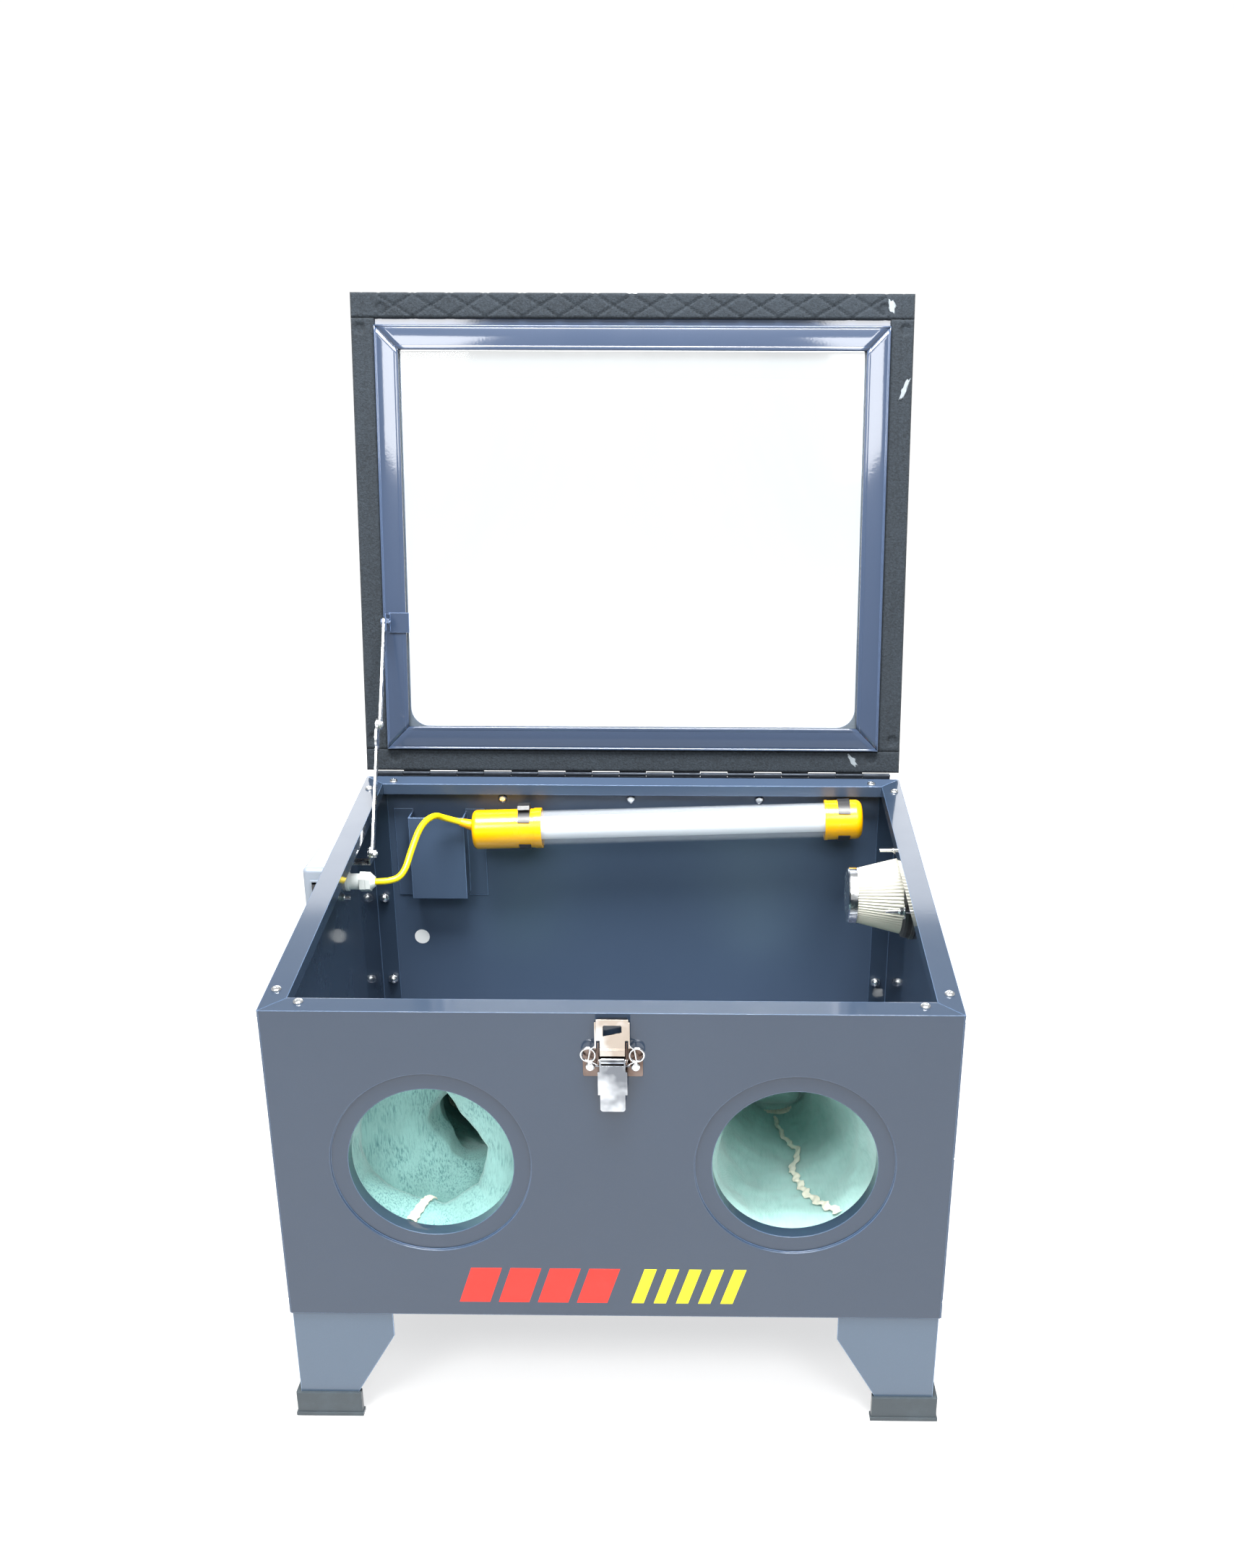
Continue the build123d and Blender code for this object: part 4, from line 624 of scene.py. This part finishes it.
def foam_strip(name, x0, x1, s0, s1, back, groove):
    """Block of foam on the lid, with rounded edges, pockets and grooves in its face."""
    cols, rows = int((x1 - x0) / 1.5), int((s1 - s0) / 1.5)
    points = []
    for r in range(rows):
        for c in range(cols):
            x, s = x0 + (x1 - x0) * c / (cols - 1), s0 + (s1 - s0) * r / (rows - 1)
            edge = min(x - x0, x1 - x, s - s0, s1 - s)
            rounding = 1.3 * max(0.0, 1 - edge / 1.7) ** 2
            off = SEAL_FACE - rounding + 0.25 * ripple(x, s, 0, 4, 2.2) - groove(x, s)
            for px, ps in POCKETS:
                off -= 1.9 * ease((6.4 - hypot(x - px, s - ps)) / 1.6)
            points.append(on_lid(x, s, min(off, SEAL_FACE)))
    faces = grid_faces(rows, cols)
    rim = list(range(cols)) + [r * cols + cols - 1 for r in range(1, rows)]
    rim += [(rows - 1) * cols + c for c in range(cols - 2, -1, -1)]
    rim += [r * cols for r in range(rows - 2, 0, -1)]
    start = len(points)
    for index in rim:
        r, c = divmod(index, cols)
        x, s = x0 + (x1 - x0) * c / (cols - 1), s0 + (s1 - s0) * r / (rows - 1)
        points.append(on_lid(x, s, back))
    n = len(rim)
    faces += [(rim[i], start + i, start + (i + 1) % n, rim[(i + 1) % n]) for i in range(n)]
    faces.append(tuple(start + i for i in range(n)))
    strip = piece(name, mesh_of(name, points, faces), foam_mat, "lid", "lid_seal")


def tear(name, x, s, width, length, turn):
    """Loose flake of foam skin, pressed flat on the seal."""
    cols, rows = 9, 13
    points = []
    for r in range(rows):
        for c in range(cols):
            u, v = c / (cols - 1) - 0.5, r / (rows - 1) - 0.5
            ragged = 1 + 0.5 * ripple(u * 9, v * 9, x, 2.0, 5.0)
            px, ps = u * width * ragged * (1 - abs(v)), v * length * ragged
            lift = 0.03 + 0.2 * min(1.0, abs(ripple(u * 12, v * 12, s, 3.0, 1.0)))
            points.append(on_lid(x + px * cos(turn) - ps * sin(turn), s + px * sin(turn) + ps * cos(turn),
                                 SEAL_FACE + lift))
    obj = piece(name, mesh_of(name, points, grid_faces(rows, cols)), film_mat, "lid")
    body = obj.modifiers.new("body", "SOLIDIFY")
    body.thickness, body.offset = 0.00018, -1.0
    applied(obj)


SIDE_X, SIDE_S0, SIDE_S1 = 270.8, 30.4, 477.9      # side strips: inner edge and the two ends
JOIN = 0.2                                         # gap between two strips
LEAF_CLEAR = 7.0                                   # keeps the rear strip off the hinge leaf when shut
foam_strip("seal_front", -HALF_W, HALF_W, SIDE_S1 + JOIN, LID_LEN, SKIN_OFF, front_grooves)
foam_strip("seal_rear", -HALF_W, HALF_W, LEAF_CLEAR, SIDE_S0 - JOIN, LEAF_OFF, plain)
foam_strip("seal_left", -HALF_W, -SIDE_X, SIDE_S0, SIDE_S1, SKIN_OFF, side_groove)
foam_strip("seal_right", SIDE_X, HALF_W, SIDE_S0, SIDE_S1, SKIN_OFF, side_groove)
tear("tear_corner", 271, 490, 7, 13, 0.15)
tear("tear_side", 286.5, 408, 6, 22, -0.35)
tear("tear_rear", 243, 20, 6, 15, 0.7)

# ---- window frame ----
FRAME_X, FRAME_S0, FRAME_S1 = 270.5, 30.5, 470.5      # outer edges
MITRE, WAVE = 0.35, 0.05                              # setback at each mitre; height of the waviness


def roll(mid, up, radius, start, end, steps):
    """Round stretch of the profile, angles in degrees."""
    return [(mid + radius * cos(radians(start + (end - start) * i / steps)),
             up + radius * sin(radians(start + (end - start) * i / steps))) for i in range(steps + 1)]


# across one strip of the frame: distance in from its outer edge, height above the seal plane
PROFILE = ([(0.0, SKIN_OFF + 0.1)] + roll(1.5, 3.0, 1.5, 180, 90, 6) + roll(2.6, 4.5, 0.9, 250, 290, 4)
           + [(4.4, 4.1), (20.0, 4.1)] + roll(21.6, 3.4, 0.9, 130, 90, 4) + roll(23.2, 2.9, 1.6, 80, 0, 6)
           + [(24.8, -2.0)])


def frame_strip(name, side):
    """Mitred strip of the window frame, swept along one side of the opening."""
    steps = 60
    points = []
    for i in range(steps + 1):
        k = i / steps
        for inward, up in PROFILE:
            if side in ("top", "bottom"):
                x = (2 * k - 1) * (FRAME_X - inward - MITRE)
                s = FRAME_S1 - inward if side == "top" else FRAME_S0 + inward
            else:
                low, high = FRAME_S0 + inward + MITRE, FRAME_S1 - inward - MITRE
                x = (-1 if side == "left" else 1) * (FRAME_X - inward)
                s = low + (high - low) * k
            points.append(on_lid(x, s, up + WAVE * ripple(x, s, 0, 60, 8.0) - WAVE))
    faces = grid_faces(steps + 1, len(PROFILE))
    obj = piece(name, mesh_of(name, points, faces), blue_lid, "lid", "window_frame")
    trough = 10      # this face of each row looks straight out of the frame
    outward = obj.data.polygons[steps // 2 * (len(PROFILE) - 1) + trough].normal
    if outward.dot(on_lid(0, 0, 1) - on_lid(0, 0, 0)) < 0:
        obj.data.flip_normals()
    body = obj.modifiers.new("body", "SOLIDIFY")
    body.thickness, body.offset = 0.0008, -1.0
    applied(obj)


for side in ("top", "bottom", "left", "right"):
    frame_strip("frame_" + side, side)

# ---- filter pleats ----
FILTER_Y, FILTER_Z = 330.0, 287.6
PLEATS, PLEAT_POINTS = 64, 6
PLEAT_DEPTH, PLEAT_WALL = 1.25, 8.0


def filter_pleats():
    """Hollow cone of folded paper: four pleated rings outside, four smooth ones inside."""
    outside = [(231.0, 26.6), (232.5, 27.2), (279.0, 38.8), (280.3, 39.1)]
    rings = [(x, radius, PLEAT_DEPTH) for x, radius in outside]
    rings += [(x, radius - PLEAT_WALL, 0.0) for x, radius in reversed(outside)]
    count = PLEATS * PLEAT_POINTS
    points = []
    for x, radius, depth in rings:
        for c in range(count):
            angle = 2 * pi * c / count
            r = radius - depth * abs(((c / PLEAT_POINTS) % 1.0) * 2 - 1)
            points.append(at(x, FILTER_Y + r * cos(angle), FILTER_Z + r * sin(angle)))
    last = (len(rings) - 1) * count
    faces = grid_faces(len(rings), count, True)
    faces += [(last + c, last + (c + 1) % count, (c + 1) % count, c) for c in range(count)]
    piece("filter_pleats", mesh_of("filter_pleats", points, faces), pleat_mat, "cabinet",
          "filter_element", smooth=False)


filter_pleats()

# ---- latch springs ----
LATCH_X, COIL_X, COIL_Z, COIL_Y = 1.5, 20.4, 265.3, -6.2
COIL_R, WIRE_R, COIL_PITCH = 6.1, 0.75, 1.55
TURNS, TURN_STEPS = 2, 24


def latch_spring(side):
    """Wire spring beside the latch: a short leg, the coil and a bent end."""
    coil_x = LATCH_X + side * COIL_X
    route = [(LATCH_X + side * 12.6, -5.0, 254.0), (LATCH_X + side * 14.4, -5.0, 256.0)]
    for i in range(TURNS * TURN_STEPS + 1):
        angle = -pi / 2 + side * 2 * pi * i / TURN_STEPS
        y = COIL_Y - COIL_PITCH * i / TURN_STEPS + 0.4
        route.append((coil_x + COIL_R * cos(angle), y, COIL_Z + COIL_R * sin(angle)))
    route += [(coil_x - side * 2.0, -8.6, COIL_Z + COIL_R + 0.2), (LATCH_X + side * 15.2, -8.2, 272.6),
              (LATCH_X + side * 14.1, -7.4, 275.0)]
    wire = bpy.data.curves.new("spring", "CURVE")
    wire.dimensions = "3D"
    path = wire.splines.new("POLY")
    path.points.add(len(route) - 1)
    for knot, spot in zip(path.points, route):
        knot.co = (*at(*spot), 1.0)
    wire.bevel_depth, wire.bevel_resolution, wire.use_fill_caps = WIRE_R * MM, 5, True
    name = "spring_left" if side < 0 else "spring_right"
    piece(name, wire, spring_mat, "latch_claw", "latch_springs")


for side in (-1, 1):
    latch_spring(side)


# ---- decals and stickers ----
PRINT_LOW, PRINT_HIGH = 0.02, 0.15        # a print's two faces above the sheet


def flat_patch(name, outlines, mat, place):
    """Thin printed shapes; place turns a flat point and a height into the frame."""
    bm = bmesh.new()
    for outline in outlines:
        low = [bm.verts.new(place(u, v, PRINT_LOW)) for u, v in outline]
        high = [bm.verts.new(place(u, v, PRINT_HIGH)) for u, v in outline]
        bm.faces.new(low[::-1])
        bm.faces.new(high)
        n = len(outline)
        for i in range(n):
            bm.faces.new((low[i], low[(i + 1) % n], high[(i + 1) % n], high[i]))
    bmesh.ops.recalc_face_normals(bm, faces=bm.faces)
    mesh = bpy.data.meshes.new(name)
    bm.to_mesh(mesh)
    bm.free()
    piece(name, mesh, mat, "cabinet", smooth=False)


def front_face(u, v, h):
    return at(u, -h, v)


def rear_wall(u, v, h):
    return at(u, DEPTH - SHEET - h, v)


BAR_LOW, BAR_HIGH, BAR_LEAN = 14, 50, 12


def bars(x0, x1, count, share):
    """Row of leaning bars from x0 to x1; share is how much of its pitch a bar fills."""
    pitch = (x1 - x0 - BAR_LEAN) / count
    made = []
    for i in range(count):
        left = x0 + i * pitch
        right = x0 + i * pitch + pitch * share
        made.append([(left, BAR_LOW), (right, BAR_LOW),
                     (right + BAR_LEAN, BAR_HIGH), (left + BAR_LEAN, BAR_HIGH)])
    return made


STICKER_X, STICKER_Z, STICKER_R, STICKER_SIDES = -245, 177, 8.6, 48
angles = [2 * pi * i / STICKER_SIDES for i in range(STICKER_SIDES)]
disc = [(STICKER_X + STICKER_R * cos(angle), STICKER_Z + STICKER_R * sin(angle)) for angle in angles]
flat_patch("decal_red", bars(-140, 13, 4, 0.78), red_ink, front_face)
flat_patch("decal_yellow", bars(15, 127, 5, 0.55), yellow_ink, front_face)
flat_patch("sticker_rear", [disc], paper, rear_wall)

# ---- stage and light ----
FLOOR_HALF, FLOOR_DROP = 40, 0.0005          # metres; the drop keeps it off the feet
FLOOR_GREY, FLOOR_GLOW = 0.42, 0.62
WORLD_LIGHT, WORLD_SEEN = 0.52, 1.02         # strength as a light, and as the camera sees it

corners = [(-FLOOR_HALF, -FLOOR_HALF, 0), (FLOOR_HALF, -FLOOR_HALF, 0),
           (FLOOR_HALF, FLOOR_HALF, 0), (-FLOOR_HALF, FLOOR_HALF, 0)]
floor_mesh = mesh_of("floor", corners, [(0, 1, 2, 3)])
ground = bpy.data.objects.new("floor", floor_mesh)
bpy.context.collection.objects.link(ground)
pale = Shader("floor_pale", (FLOOR_GREY, FLOOR_GREY, FLOOR_GREY, 1.0), 0.9, Emission_Color=(1, 1, 1, 1),
              Emission_Strength=FLOOR_GLOW)
floor_mesh.materials.append(pale.mat)
ground.location.z = -FLOOR_DROP

world = bpy.data.worlds.new("studio")
bpy.context.scene.world = world
world.use_nodes = True
studio = world.node_tree
seen = studio.nodes.new("ShaderNodeLightPath").outputs["Is Camera Ray"]
level = studio.nodes.new("ShaderNodeMapRange")
level.inputs["To Min"].default_value = WORLD_LIGHT
level.inputs["To Max"].default_value = WORLD_SEEN
studio.links.new(seen, level.inputs["Value"])
studio.links.new(level.outputs["Result"], studio.nodes["Background"].inputs["Strength"])
studio.nodes["Background"].inputs["Color"].default_value = (1.0, 1.0, 1.0, 1.0)


def softbox(name, place, target, size, power, in_view=True):
    """Rectangular light, aimed at a target; places in metres, power in watts."""
    light = bpy.data.lights.new(name, "AREA")
    light.shape = "RECTANGLE"
    light.size, light.size_y = size
    light.energy = power
    lamp = bpy.data.objects.new(name, light)
    lamp.location = place
    lamp.visible_camera = in_view
    lamp.rotation_euler = (Vector(target) - Vector(place)).to_track_quat("-Z", "Y").to_euler()
    bpy.context.collection.objects.link(lamp)


sky = bpy.data.lights.new("sky", "SUN")
sky.energy, sky.angle = 1.4, radians(60)
overhead = bpy.data.objects.new("sky", sky)
overhead.rotation_euler = (radians(22), 0, 0)
bpy.context.collection.objects.link(overhead)
for name, x in (("left_box", -0.83), ("right_box", 0.725)):
    softbox(name, (x, -1.85, 1.82), (0, 0.2, 0.75), (0.7, 0.7), 24)
softbox("top_box", (0.0, -0.6, 2.5), (0, 0.15, 0.3), (1.2, 0.8), 150)
softbox("backdrop", (-0.2, 2.6, 1.3), (-0.2, 0, 1.3), (2.2, 2.2), 50, False)
